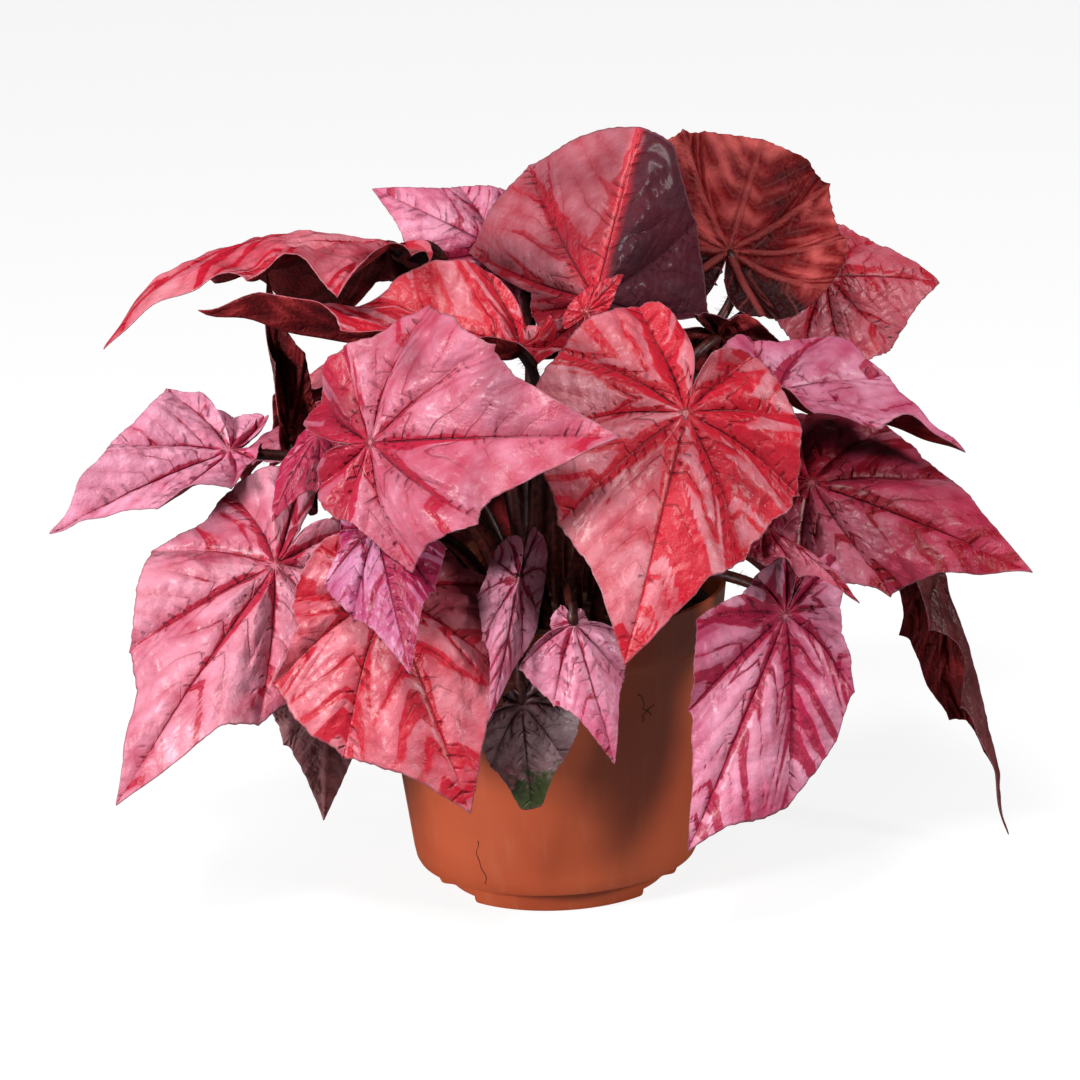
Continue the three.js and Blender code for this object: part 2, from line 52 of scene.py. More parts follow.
FOOT_NOTCH_DEG = 28.0
FOOT_NOTCH_DEPTH = 4.0
POT_SIDES = 216
DRAIN_R = 3.5
DRAIN_RING_R = 27.0
DRAIN_COUNT = 6
DRAIN_SIDES = 32
DRILL_PAST = 1.0
SHARP_EDGE_DEG = 40.0


def linear(hex_colour):
    """An sRGB hex colour as linear red, green, blue and full alpha."""
    srgb = np.array([int(hex_colour[i : i + 2], 16) for i in (1, 3, 5)]) / 255
    rgb = np.where(srgb <= 0.04045, srgb / 12.92, ((srgb + 0.055) / 1.055) ** 2.4)
    return (*rgb.tolist(), 1.0)


def node(tree, kind, inputs=(), stops=(), **settings):
    """Adds one node: settings are its properties and stops a colour ramp's places and hex colours.
    inputs are its sockets' values, in order or by key. A socket is linked; so is a node, by the first
    of its outputs that is in use; a hex colour is made linear."""
    made = tree.nodes.new("ShaderNode" + kind)
    for key, value in settings.items():
        setattr(made, key, value)
    for number, (position, hex_colour) in enumerate(stops):
        ends = made.color_ramp.elements
        stop = ends[number] if number < 2 else ends.new(position)
        stop.position = position
        stop.color = linear(hex_colour)
    for key, value in inputs.items() if isinstance(inputs, dict) else enumerate(inputs):
        if isinstance(value, bpy.types.Node):
            value = next(output for output in value.outputs if output.enabled)
        if isinstance(value, bpy.types.NodeSocket):
            tree.links.new(value, made.inputs[key])
        else:
            made.inputs[key].default_value = linear(value) if isinstance(value, str) else value
    return made


def material(name):
    """An empty material and its node tree."""
    made = bpy.data.materials.new(name)
    made.use_nodes = True
    made.node_tree.nodes.clear()
    return made, made.node_tree


def piece(name, points, quads, triangles=(), materials=(), slots=None, maps=None):
    """A mesh object at the origin. points are millimetres, one row each; quads and triangles are rows of
    point numbers; slots is one material number a face; maps gives UV maps as one (u, v) row a point."""
    quads = np.asarray(quads, int).reshape(-1, 4)
    triangles = np.asarray(triangles, int).reshape(-1, 3)
    corners = np.concatenate([quads.ravel(), triangles.ravel()])
    starts = np.concatenate([np.arange(len(quads)) * 4, len(quads) * 4 + np.arange(len(triangles)) * 3])
    mesh = bpy.data.meshes.new(name)
    mesh.vertices.add(len(points))
    mesh.vertices.foreach_set("co", (np.asarray(points) * MM).astype(np.float32).ravel())
    mesh.loops.add(len(corners))
    mesh.polygons.add(len(starts))
    mesh.polygons.foreach_set("loop_start", starts.astype(np.int32))
    mesh.polygons.foreach_set("vertices", corners.astype(np.int32))
    for key, uv in (maps or {}).items():
        layer = mesh.uv_layers.new(name=key)
        layer.data.foreach_set("uv", np.asarray(uv)[corners].astype(np.float32).ravel())
    for made in materials:
        mesh.materials.append(made)
    if slots is not None:
        mesh.polygons.foreach_set("material_index", np.asarray(slots, np.int32))
    mesh.update(calc_edges=True)
    mesh.polygons.foreach_set("use_smooth", np.ones(len(starts), bool))
    made = bpy.data.objects.new(name, mesh)
    bpy.context.scene.collection.objects.link(made)
    return made


def ring_quads(rows, columns):
    """Quads of a grid of rows of points, each row a ring of columns points."""
    i = np.arange(rows - 1)[:, None] * columns
    j = np.arange(columns)[None, :]
    k = (j + 1) % columns
    return np.stack([i + j, i + k, i + columns + k, i + columns + j], -1).reshape(-1, 4)


def fan(pole, first, count, forwards=True):
    """Triangles from the point numbered pole to each step of the ring of points that starts at first."""
    j = first + np.arange(count)
    k = np.roll(j, -1)
    return np.stack([np.full(count, pole), *((j, k) if forwards else (k, j))], 1)


def lid(first, count, forwards=True):
    """Triangles that close the ring of points that starts at first, all of them from that point."""
    j = first + np.arange(1, count - 1)
    return np.stack([np.full(count - 2, first), *((j, j + 1) if forwards else (j + 1, j))], 1)


def circle(radius, z, turn):
    """A ring of points round the axis at each turn; the radius is one number, or one a turn."""
    return np.stack([radius * np.cos(turn), radius * np.sin(turn), np.full(len(turn), z)], 1)


def wall_radius(z):
    """Outer radius of the pot's wall, a straight taper without the band's step."""
    return POT_BASE_R + (POT_RIM_R - COLLAR_STEP - POT_BASE_R) * (z - FOOT_H) / (POT_H - FOOT_H)


def foot_radius(turn, inset):
    """Radius of the foot: three round lobes with a shallow, round-cornered notch between each two."""
    lobe = 2 * math.pi / 3
    off = np.abs((turn + math.pi / 2 + lobe / 2) % lobe - lobe / 2)
    edge = (lobe - math.radians(FOOT_NOTCH_DEG)) / 2
    notch = 1 / (1 + np.exp(-(off - edge) * 60))
    return FOOT_R - inset - FOOT_NOTCH_DEPTH * notch


def make_pot():
    """The pot's wall as a closed profile carried round the axis, with rounded edges; the foot's part of
    it follows the lobes. Each row of the profile is a radius and a height."""
    collar = POT_H - COLLAR_H
    turn = np.linspace(0, 2 * math.pi, POT_SIDES, endpoint=False)
    outer, inner = foot_radius(turn, 0.0), foot_radius(turn, POT_WALL)
    under = [(radius, 0.0) for radius in (0.2, 12.0, 24.0, 34.0, foot_radius(turn, 1.4))]
    foot = [(foot_radius(turn, 0.4), 0.25), (outer, 1.2), (outer + 0.3, FOOT_H - 2.6),
            (outer + 0.9, FOOT_H - 0.6), (outer + 2.2, FOOT_H + 0.1)]
    shoulder = [(POT_BASE_R - 2.0, FOOT_H + 0.2), (POT_BASE_R - 0.7, FOOT_H + 0.7),
                (POT_BASE_R + 0.05, FOOT_H + 2.2)]
    wall = [(wall_radius(z), z) for z in np.linspace(FOOT_H + 6, collar - 1.2, 16)]
    step = [(wall_radius(collar) + 0.15, collar - 0.5), (wall_radius(collar) + COLLAR_STEP - 0.2, collar),
            (wall_radius(collar) + COLLAR_STEP, collar + 0.5)]
    band = [(wall_radius(z) + COLLAR_STEP, z) for z in np.linspace(collar + 3, POT_H - 1.4, 5)]
    rim = [(POT_RIM_R - 0.15, POT_H - 0.4), (POT_RIM_R - 0.6, POT_H),
           (POT_RIM_R - POT_WALL + 0.4, POT_H), (POT_RIM_R - POT_WALL, POT_H - 0.5)]
    inside = [(wall_radius(z) - POT_WALL, z) for z in np.linspace(POT_H - 4, FOOT_H + POT_WALL + 1, 12)]
    well = [(wall_radius(FOOT_H) - POT_WALL - 1.5, FOOT_H + POT_WALL), (inner, FOOT_H + POT_WALL),
            (inner - 0.3, POT_WALL + 0.4)]
    floor = [(radius, POT_WALL) for radius in (inner - 1.2, 30.0, 14.0, 0.2)]
    profile = under + foot + shoulder + wall + step + band + rim + inside + well + floor
    rows = [circle(radius, z, turn) for radius, z in profile]
    points = np.concatenate(rows + [[[0, 0, 0], [0, 0, POT_WALL]]])
    ends = [fan(len(points) - 2, 0, POT_SIDES, forwards=False),
            fan(len(points) - 1, (len(rows) - 1) * POT_SIDES, POT_SIDES)]
    return piece("nursery_pot", points, ring_quads(len(rows), POT_SIDES), np.concatenate(ends))


def moulded_polypropylene():
    """Injection-moulded polypropylene: satin, a faint mould grain, and pale dusty streaks down the wall."""
    made, tree = material("terracotta_polypropylene")
    place = node(tree, "TexCoord").outputs["Object"]
    cloud = node(tree, "TexNoise", {"Vector": place, "Scale": 28.0, "Detail": 4.0})
    grain = node(tree, "TexNoise", {"Vector": place, "Scale": 1400.0, "Detail": 2.0})
    streak_place = node(tree, "Mapping", {"Vector": place, "Scale": (60.0, 60.0, 6.0)})
    streak = node(tree, "TexNoise", {"Vector": streak_place, "Scale": 3.0, "Detail": 3.0})
    base = node(tree, "ValToRGB", (cloud,), stops=((0.3, "#b04a29"), (0.7, "#bd5632")))
    dusty = node(tree, "MapRange", (streak, 0.55, 0.8, 0.0, 0.22))
    colour = node(tree, "Mix", {0: dusty, 6: base, 7: "#c98363"}, data_type="RGBA")
    rough = node(tree, "MapRange", (streak, 0.2, 0.8, 0.34, 0.5))
    bump = node(tree, "Bump", {"Height": grain, "Strength": 0.18, "Distance": 0.0002})
    skin = node(tree, "BsdfPrincipled", {
        "Base Color": colour, "Roughness": rough, "Normal": bump,
        "IOR": 1.49})
    node(tree, "OutputMaterial", (skin,))
    return made


pot = make_pot()
around = np.linspace(0, 2 * math.pi, DRAIN_SIDES, endpoint=False)
drill, drill_quads, drill_lids = [], [], []
for hole in range(DRAIN_COUNT):
    bearing = 2 * math.pi * hole / DRAIN_COUNT
    middle = np.array([DRAIN_RING_R * math.cos(bearing), DRAIN_RING_R * math.sin(bearing), 0])
    drill += [circle(DRAIN_R, z, around) + middle for z in (-DRILL_PAST, POT_WALL + DRILL_PAST)]
    first = 2 * DRAIN_SIDES * hole
    drill_quads.append(ring_quads(2, DRAIN_SIDES) + first)
    drill_lids += [lid(first, DRAIN_SIDES, forwards=False), lid(first + DRAIN_SIDES, DRAIN_SIDES)]
drills = piece("drills", np.concatenate(drill), np.concatenate(drill_quads), np.concatenate(drill_lids))
cut = pot.modifiers.new("drainage", "BOOLEAN")
cut.operation = "DIFFERENCE"
cut.solver = "EXACT"
cut.object = drills
bpy.context.view_layer.update()
drained = bpy.data.meshes.new_from_object(pot.evaluated_get(bpy.context.evaluated_depsgraph_get()))
pot.modifiers.clear()
pot.data = drained
bpy.data.objects.remove(drills)
pot.data.materials.clear()
pot.data.materials.append(moulded_polypropylene())
pot.data.polygons.foreach_set("use_smooth", np.ones(len(pot.data.polygons), bool))
pot.data.set_sharp_from_angle(angle=math.radians(SHARP_EDGE_DEG))
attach(pot, "root")
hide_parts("pot")

# ---- root threads ------------------------------------------------------------------------------
# A few dried fine roots, washed out of the compost when the plant was potted, cling to the wall. Each
# is a thread about a quarter of a millimetre thick that wanders down the plastic.
THREADS = [
    {"bearing": 300.0, "top": 83.0, "drop": 9.0, "drift": 5.0},
    {"bearing": 306.0, "top": 78.0, "drop": 6.0, "drift": -4.0},
    {"bearing": 238.0, "top": 29.0, "drop": 17.0, "drift": 1.5},
]
THREAD_R = 0.14


def make_threads():
    """Tubes of six sides whose middle lines run down the wall from a bearing in degrees and a height in
    millimetres, drifting sideways along two sine waves."""
    steps, sides = 24, 6
    t = np.linspace(0, 1, steps)[:, None]
    spin = np.linspace(0, 2 * math.pi, sides, endpoint=False)[None, :]
    tubes, quads, ends = [], [], []
    for number, thread in enumerate(THREADS):
        z = thread["top"] - thread["drop"] * t + THREAD_R * np.sin(spin)
        along = thread["drift"] * t + 0.8 * np.sin(7 * t + number) + 0.3 * np.sin(17 * t)
        turn = math.radians(thread["bearing"]) + (along + 0.7 * THREAD_R * np.sin(spin)) / POT_BASE_R
        radius = wall_radius(z) + 0.5 * THREAD_R + THREAD_R * np.cos(spin)
        tubes.append(np.stack([radius * np.cos(turn), radius * np.sin(turn), z], -1).reshape(-1, 3))
        first = number * steps * sides
        quads.append(ring_quads(steps, sides) + first)
        ends += [lid(first, sides), lid(first + (steps - 1) * sides, sides, forwards=False)]
    return piece("root_threads", np.concatenate(tubes), np.concatenate(quads), np.concatenate(ends))


def dried_root():
    """Dried root: dull dark brown, a little paler than the compost."""
    made, tree = material("dried_root")
    skin = node(tree, "BsdfPrincipled", {"Base Color": "#3a1c12", "Roughness": 0.8})
    node(tree, "OutputMaterial", (skin,))
    return made


threads = make_threads()
threads.data.materials.append(dried_root())
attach(threads, "root")

# ---- compost ------------------------------------------------------------------------------------
# The compost is peat with bark and white perlite, pressed in by hand to a finger below the rim. It
# fills the pot down to the drainage holes, and is mounded a little round the plant.
GAP = 0.3
SOIL_EDGE_Z = 99.0
SOIL_MOUND = 3.0
CROWN_R = 34.0
CROWN_SUNK = 9.0
CROWN_TOP_Z = 105.0
PERLITE_COUNT = 130
BARK_COUNT = 170


def hum(x, y, scale, seed):
    """A smooth random surface, mostly between -1 and 1: a quarter of the sum of eight sine waves in
    random directions, with wavelengths round the given scale."""
    draw = np.random.default_rng(seed)
    total = np.zeros(np.broadcast(x, y).shape)
    for _ in range(8):
        heading = draw.uniform(0, 2 * math.pi)
        wave = scale * draw.uniform(0.6, 1.6)
        across = (x * math.cos(heading) + y * math.sin(heading)) * 2 * math.pi / wave
        total += np.sin(across + draw.uniform(0, 6.28))
    return total / 4


def soil_height(r):
    """Height of the compost at a distance from the middle: a low cosine mound."""
    reach = wall_radius(SOIL_EDGE_Z) - POT_WALL - GAP
    return SOIL_EDGE_Z + SOIL_MOUND * np.cos(math.pi / 2 * np.minimum(1, r / reach))


def make_compost():
    """The top is a disc whose height is the mound plus three scales of random lumps; its edge runs down
    inside the wall to a flat bottom on the pot's floor."""
    sides, rings = 288, 110
    turn = np.linspace(0, 2 * math.pi, sides, endpoint=False)[None, :]
    reach = wall_radius(SOIL_EDGE_Z) - POT_WALL - 2 * GAP
    r = np.linspace(0.3, reach, rings)[:, None]
    x, y = r * np.cos(turn), r * np.sin(turn)
    lumps = 0.55 * hum(x, y, 14, 1) + 0.4 * hum(x, y, 5, 2) + 0.3 * np.abs(hum(x, y, 2.4, 3))
    settled = np.clip((reach - r) / 3, 0, 1)
    top = np.stack([x, y, soil_height(r) + lumps * settled - 0.6], -1)
    floor = FOOT_H + POT_WALL + GAP
    inner = wall_radius(floor) - POT_WALL - 2 * GAP
    in_foot = FOOT_R - FOOT_NOTCH_DEPTH - POT_WALL - 2 * GAP
    below = ((inner, floor), (in_foot, floor), (in_foot, POT_WALL + GAP), (0.3, POT_WALL + GAP))
    rows = [top.reshape(-1, 3)] + [circle(radius, z, turn[0]) for radius, z in below]
    points = np.concatenate(rows + [[[0, 0, top[0, 0, 2]], [0, 0, POT_WALL + GAP]]])
    ends = [fan(len(points) - 2, 0, sides),
            fan(len(points) - 1, (rings + len(below) - 1) * sides, sides, forwards=False)]
    quads = ring_quads(rings + len(below), sides)[:, ::-1]
    return piece("compost", points, quads, np.concatenate(ends))


def scattered(name, count, seed, size, flatness, sink):
    """Crumbs strewn on the compost: each is an eight-cornered lump, a box with its corners drawn in and
    out at random, turned at random and half sunk."""
    draw = np.random.default_rng(seed)
    corners = np.array([[i, j, k] for k in (-1, 1) for j in (-1, 1) for i in (-1, 1)], float)
    faces = np.array([[0, 2, 3, 1], [4, 5, 7, 6], [0, 1, 5, 4], [2, 6, 7, 3], [0, 4, 6, 2], [1, 3, 7, 5]])
    r = np.sqrt(draw.uniform((CROWN_R + 1) ** 2, (wall_radius(SOIL_EDGE_Z) - 6) ** 2, count))
    turn = draw.uniform(0, 2 * math.pi, count)
    scale = draw.uniform(*size, count)[:, None] * draw.uniform(0.7, 1.3, (count, 3)) * [1, 1, flatness]
    local = corners[None] * draw.uniform(0.55, 1.0, (count, 8, 3)) * scale[:, None, :]
    spin, tilt = draw.uniform(0, 2 * math.pi, count), draw.uniform(-0.5, 0.5, count)
    c, s, ct, st = np.cos(spin), np.sin(spin), np.cos(tilt), np.sin(tilt)
    x, y, z = local[..., 0], local[..., 1], local[..., 2]
    y, z = y * ct[:, None] - z * st[:, None], y * st[:, None] + z * ct[:, None]
    x, y = x * c[:, None] - y * s[:, None], x * s[:, None] + y * c[:, None]
    middle = np.stack([r * np.cos(turn), r * np.sin(turn), soil_height(r) - sink], 1)
    points = np.stack([x, y, z], -1) + middle[:, None, :]
    quads = faces[None] + 8 * np.arange(count)[:, None, None]
    made = piece(name, points.reshape(-1, 3), quads.reshape(-1, 4))
    soften = made.modifiers.new("worn", "SUBSURF")
    soften.levels = soften.render_levels = 1
    return made


def peat_compost():
    """Damp peat: nearly black, matt, with paler fibres and a coarse crumb."""
    made, tree = material("damp_peat_compost")
    place = node(tree, "TexCoord").outputs["Object"]
    crumb = node(tree, "TexVoronoi", {"Vector": place, "Scale": 650.0})
    cloud = node(tree, "TexNoise", {"Vector": place, "Scale": 220.0, "Detail": 5.0, "Roughness": 0.7})
    colour = node(tree, "ValToRGB", (cloud,), stops=((0.35, "#120c09"), (0.75, "#3a281d")))
    height = node(tree, "Math", (crumb, cloud), operation="ADD")
    bump = node(tree, "Bump", {"Height": height, "Strength": 0.9, "Distance": 0.0008})
    skin = node(tree, "BsdfPrincipled", {"Base Color": colour, "Roughness": 0.92, "Normal": bump})
    node(tree, "OutputMaterial", (skin,))
    return made


def mineral(name, dark, pale, scale):
    """A crumb's finish, matt and mottled between two colours: expanded glass for perlite, or bark."""
    made, tree = material(name)
    place = node(tree, "TexCoord").outputs["Object"]
    pits = node(tree, "TexNoise", {"Vector": place, "Scale": scale, "Detail": 4.0})
    colour = node(tree, "ValToRGB", (pits,), stops=((0.35, dark), (0.65, pale)))
    bump = node(tree, "Bump", {"Height": pits, "Strength": 0.6, "Distance": 0.0003})
    skin = node(tree, "BsdfPrincipled", {"Base Color": colour, "Roughness": 0.85, "Normal": bump})
    node(tree, "OutputMaterial", (skin,))
    return made


compost = make_compost()
compost.data.materials.append(peat_compost())
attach(compost, "root")
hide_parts("soil")
perlite = scattered("perlite_grains", PERLITE_COUNT, 11, (0.6, 1.5), 0.8, 0.1)
perlite.data.materials.append(mineral("expanded_perlite", "#a9a49b", "#e8e4dc", 900.0))
bark = scattered("bark_chips", BARK_COUNT, 12, (1.0, 2.6), 0.35, 0.0)
bark.data.materials.append(mineral("composted_bark", "#1d120c", "#4a3020", 500.0))
for crumbs in (perlite, bark):
    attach(crumbs, "root")

# ---- crown --------------------------------------------------------------------------------------
# The crown is the plant's rhizome, a thick creeping stem half sunk in the compost: knobbly where old
# stalks broke off, brown and papery, with the living stalks rising from it.


def crown_height(x, y):
    """Height of the crown: a low dome with a pattern of rounded knobs that dies away at its edge."""
    r = np.hypot(x, y) / CROWN_R
    knobs = np.sin(x * 0.55 + 1) * np.cos(y * 0.6)
    return CROWN_TOP_Z - 4.5 * r * r + 1.1 * knobs * (1 - r * r)


def make_crown():
    """A disc raised to the crown's height with finer scales on it, and a skirt that runs down into the
    compost and is closed underneath."""
    sides, rings = 180, 60
    turn = np.linspace(0, 2 * math.pi, sides, endpoint=False)[None, :]
    r = np.linspace(0.2, CROWN_R - 0.4, rings)[:, None]
    x, y = r * np.cos(turn), r * np.sin(turn)
    scales = 0.35 * np.abs(hum(x, y, 5, 21)) + 0.2 * hum(x, y, 2.2, 22)
    top = np.stack([x, y, crown_height(x, y) + scales - 0.3], -1).reshape(-1, 3)
    low = soil_height(CROWN_R) - CROWN_SUNK + GAP
    points = np.concatenate([top, circle(CROWN_R - 0.4, low, turn[0]), [[0, 0, top[0, 2]], [0, 0, low]]])
    ends = [fan(len(points) - 2, 0, sides), fan(len(points) - 1, rings * sides, sides, forwards=False)]
    return piece("rhizome_crown", points, ring_quads(rings + 1, sides)[:, ::-1], np.concatenate(ends))


def papery_rhizome():
    """Rhizome bark: dull red-brown with papery pale scales."""
    made, tree = material("papery_rhizome_bark")
    place = node(tree, "TexCoord").outputs["Object"]
    scale = node(tree, "TexVoronoi", {"Vector": place, "Scale": 320.0})
    cloud = node(tree, "TexNoise", {"Vector": place, "Scale": 120.0, "Detail": 5.0})
    colour = node(tree, "ValToRGB", (cloud,), stops=((0.3, "#2c150f"), (0.75, "#6e4630")))
    bump = node(tree, "Bump", {"Height": scale, "Strength": 0.8, "Distance": 0.0008})
    skin = node(tree, "BsdfPrincipled", {"Base Color": colour, "Roughness": 0.75, "Normal": bump})
    node(tree, "OutputMaterial", (skin,))
    return made


crown = make_crown()
crown.data.materials.append(papery_rhizome())
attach(crown, "root")
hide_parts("crown")

# ---- leaves -------------------------------------------------------------------------------------
# Each leaf is one lopsided pointed blade on a hairy stalk. The blade is thin, soft and puckered: its
# ribs fan out from the stalk's joint, branch ribs run off them, and the skin bulges up between.


def grown(name, base, tip, face, side, wide, arch, fold, curl, tone, **more):
    """One leaf. base and tip are the joint and the tip in millimetres and face the way its upper side
    looks; side is 1 or -1 for the broad half; wide is its width as a share of the outline's; arch is
    how far the midrib bends, fold how steeply the halves fold up and curl how far they roll, all in
    degrees. more holds what few leaves have: heel, blunt and full change the outline, twist turns the
    blade along the midrib, and rise and neck lead the stalk."""
    return {"name": name, "base": base, "tip": tip, "face": face, "side": side, "wide": wide,
            "arch": arch, "fold": fold, "curl": curl, "tone": tone, **more}


LEAVES = [
    # front
    grown("leaf_front_right", [50, -72, 189], [25, -114, 113], [0.1, -0.85, 0.5], -1, 1.05, 28, 6, 20,
          "crimson"),
    grown("leaf_front_left", [-58, -67, 182], [26, -113, 193], [0.05, -0.9, 0.38], 1, 0.9, 30, -5, 22,
          "salmon", heel=0.75),
    grown("leaf_lilac", [-57, -74, 154], [-47, -109, 112], [-0.1, -0.85, 0.5], -1, 0.9, 20, 25, 10,
          "lilac", heel=0.6),
    grown("leaf_low_centre", [-54, -73, 130], [-29, -97, 57], [0, -0.9, 0.45], -1, 1.08, 25, 5, 20,
          "coral", heel=0.7, full=0.08),
    grown("leaf_centre_folded", [-9, -76, 134], [-21, -97, 90], [0.3, -0.9, 0.3], 1, 0.6, 20, 35, 10, "pink"),
    grown("leaf_low_pale", [9, -80, 118], [21, -95, 72], [0.2, -0.9, 0.4], -1, 0.9, 20, 20, 20, "pink",
          heel=0.35, neck=[8, -78, 136]),
    grown("leaf_old", [-10, -77, 89], [-8, -75, 42], [0.15, -1, 0], 1, 0.85, 10, 10, 10, "old", heel=0.4,
          blunt=0.82, neck=[-11, -84, 130]),
    # top
    grown("leaf_top_centre", [22, 8, 212], [47, 55, 285], [0.12, -0.8, 0.57], 1, 1.26, 20, 34, 12,
          "crimson", heel=0.45, blunt=0.74, full=0.08),
    grown("leaf_top_pink", [-12, 60, 220], [-58, 78, 241], [-0.1, -0.8, 0.6], 1, 1, 20, 10, 20, "pink",
          rise=0.4),
    grown("leaf_top_right", [72, 61, 215], [96, 100, 272], [0, 0.9, -0.2], -1, 1.22, 30, 5, 30, "maroon",
          heel=1.15, blunt=0.66, neck=[90, 44, 190]),
    grown("leaf_top_left", [-52, 18, 234], [-156, -8, 208], [0, 0.4, 0.9], -1, 0.85, 75, 24, 5, "coral",
          twist=-30, heel=0.5),
    grown("leaf_upper_left", [-6, -25, 203], [-117, -11, 221], [-0.1, -0.3, 0.95], 1, 0.56, -12, -25, -10,
          "crimson", twist=25, heel=0.4),
    grown("leaf_young_top", [18, -35, 217], [32, -25, 228], [0.1, -0.8, 0.6], 1, 0.6, 40, 10, 20,
          "crimson", neck=[15, -30, 205]),
    # right-hand side
    grown("leaf_high_right", [108, 66, 204], [152, 84, 195], [0.1, -0.8, 0.6], -1, 1.25, 20, 15, 10,
          "coral", full=0.1),
    grown("leaf_right_pink", [85, -20, 183], [151, -18, 158], [0.05, -0.25, 1], 1, 0.8, 15, -18, 0, "pink",
          heel=0.75),
    grown("leaf_right_burgundy", [95, -25, 150], [170, -45, 119], [0, -0.65, 0.75], 1, 0.95, 20, 10, 20,
          "burgundy"),
    grown("leaf_right_low", [82, -70, 115], [45, -88, 37], [0.1, -0.9, 0.4], 1, 0.64, 25, 5, 20, "pink",
          heel=0.64, full=0.2, rise=0.3),
    grown("leaf_right_curled", [76, -72, 148], [106, -86, 123], [0.35, -0.3, 0.85], 1, 0.5, 30, 35, 30,
          "burgundy"),
    grown("leaf_right_hanging", [145, 12, 104], [166, 0, 6], [0.85, 0.45, 0.25], 1, 0.42, 20, 60, 20,
          "maroon"),
    grown("leaf_shade_right", [66, 20, 194], [101, 40, 169], [0.1, 0.9, 0.3], 1, 0.6, 20, 10, 20, "maroon"),
    grown("leaf_shade_low", [79, 10, 157], [116, 25, 140], [0.2, -0.8, 0.6], 1, 0.8, 30, 20, 20, "burgundy"),
    # left-hand side
    grown("leaf_left_mid", [-110, -8, 166], [-174, -30, 145], [-0.2, -0.6, 0.75], -1, 0.75, 20, -20, -5,
          "pink", heel=0.5, rise=0.4),
    grown("leaf_left_low", [-94, -46, 134], [-152, -78, 59], [-0.3, -0.9, 0.3], -1, 0.8, 25, 8, 14,
          "salmon", heel=0.8, rise=0),
    grown("leaf_left_strap", [-92, 20, 161], [-95, 25, 222], [-0.5, 0.8, 0], 1, 0.5, 10, 55, 10, "maroon",
          rise=0.4),
    grown("leaf_left_under", [-78, -22, 91], [-83, -32, 34], [0.1, 0.9, 0.3], 1, 0.75, 10, 10, 10,
          "maroon", neck=[-80, -22, 127]),
    grown("leaf_young_left", [-77, -30, 177], [-95, -50, 151], [-0.3, -0.8, 0.5], 1, 0.8, 30, 30, 30, "pink"),
    # back
    grown("leaf_back_1", [-44, 84, 190], [-106, 118, 127], [-0.4, 0.5, 0.75], 1, 0.9, 40, 12, 20, "coral",
          heel=0.45, rise=0.1),
    grown("leaf_back_2", [20, 84, 216], [35, 154, 170], [0, 0.55, 0.8], -1, 1, 40, 12, 20, "crimson",
          heel=0.7),
    grown("leaf_back_3", [80, 79, 178], [140, 131, 134], [0.5, 0.5, 0.7], 1, 0.9, 40, 12, 20, "pink",
          heel=0.7),
    grown("leaf_back_4", [-60, 50, 130], [-112, 112, 60], [-0.5, 0.7, 0.5], 1, 0.9, 35, 12, 20, "salmon",
          heel=0.7, rise=0),
    grown("leaf_back_5", [-18, 75, 140], [-34, 132, 55], [0, 0.85, 0.5], -1, 0.75, 35, 12, 20, "pink",
          heel=0.8),
    grown("leaf_back_6", [63, 69, 130], [98, 116, 55], [0.42, 0.8, 0.45], 1, 0.75, 35, 12, 20, "crimson",
          heel=0.7, rise=0),
    grown("leaf_back_7", [-70, 45, 172], [-116, 98, 126], [-0.6, 0.3, 0.75], -1, 0.8, 35, 12, 20, "salmon",
          heel=0.7),
    grown("leaf_back_8", [92, 59, 144], [130, 109, 84], [0.6, 0.5, 0.6], -1, 0.8, 35, 12, 20, "coral",
          heel=0.7, rise=0.35),
]

# Leaf outline: turn from the midrib in degrees, and the reach of the broad half and of the narrow
# half, as shares of the leaf's length. The tip is drawn out to a point.
OUTLINE = np.array([
    [0, 1.0, 1.0], [2, 0.94, 0.94], [5, 0.87, 0.865], [10, 0.775, 0.765], [17, 0.69, 0.67],
    [25, 0.645, 0.61], [34, 0.61, 0.57], [54, 0.58, 0.51], [74, 0.57, 0.5], [93, 0.54, 0.44],
    [112, 0.56, 0.44], [131, 0.53, 0.4], [150, 0.52, 0.39], [158, 0.49, 0.355], [166, 0.42, 0.3],
    [173, 0.28, 0.2], [180, 0.07, 0.07]])
# How much of the skin is painted red, left of the midrib and right of it as the tip hangs down and
# behind the joint: by tone, and for the leaves that differ from it.
TONE_RED = {
    "crimson": (0.55, 0.55, 0.6), "salmon": (0.3, 0.3, 0.5), "coral": (0.5, 0.5, 0.55),
    "pink": (0.35, 0.35, 0.4), "lilac": (0.5, 0.6, 0.6), "burgundy": (0.55, 0.55, 0.6),
    "maroon": (0.3, 0.3, 0.3), "old": (0.1, 0.1, 0.2),
}
REDNESS = {
    "leaf_front_right": (0.4, 0.85, 0.8), "leaf_front_left": (0.35, 0.2, 1.0),
    "leaf_top_centre": (1.0, 0.5, 0.9), "leaf_low_centre": (0.6, 0.5, 0.6),
    "leaf_left_low": (0.22, 0.3, 0.5), "leaf_left_mid": (0.1, 0.2, 0.4),
    "leaf_upper_left": (0.9, 0.9, 1.0), "leaf_right_low": (0.6, 0.55, 0.5), "leaf_lilac": (0.45, 0.8, 0.7),
    "leaf_young_left": (0.9, 0.9, 0.9), "leaf_young_top": (0.8, 0.8, 0.8), "leaf_low_pale": (0.3, 0.2, 0.3),
}
# The share of painted shade, a dark purple laid over the skin, in each half of the one leaf that has it.
PAINTED_SHADE_HALVES = {"leaf_top_centre": (0.95, 0.6)}
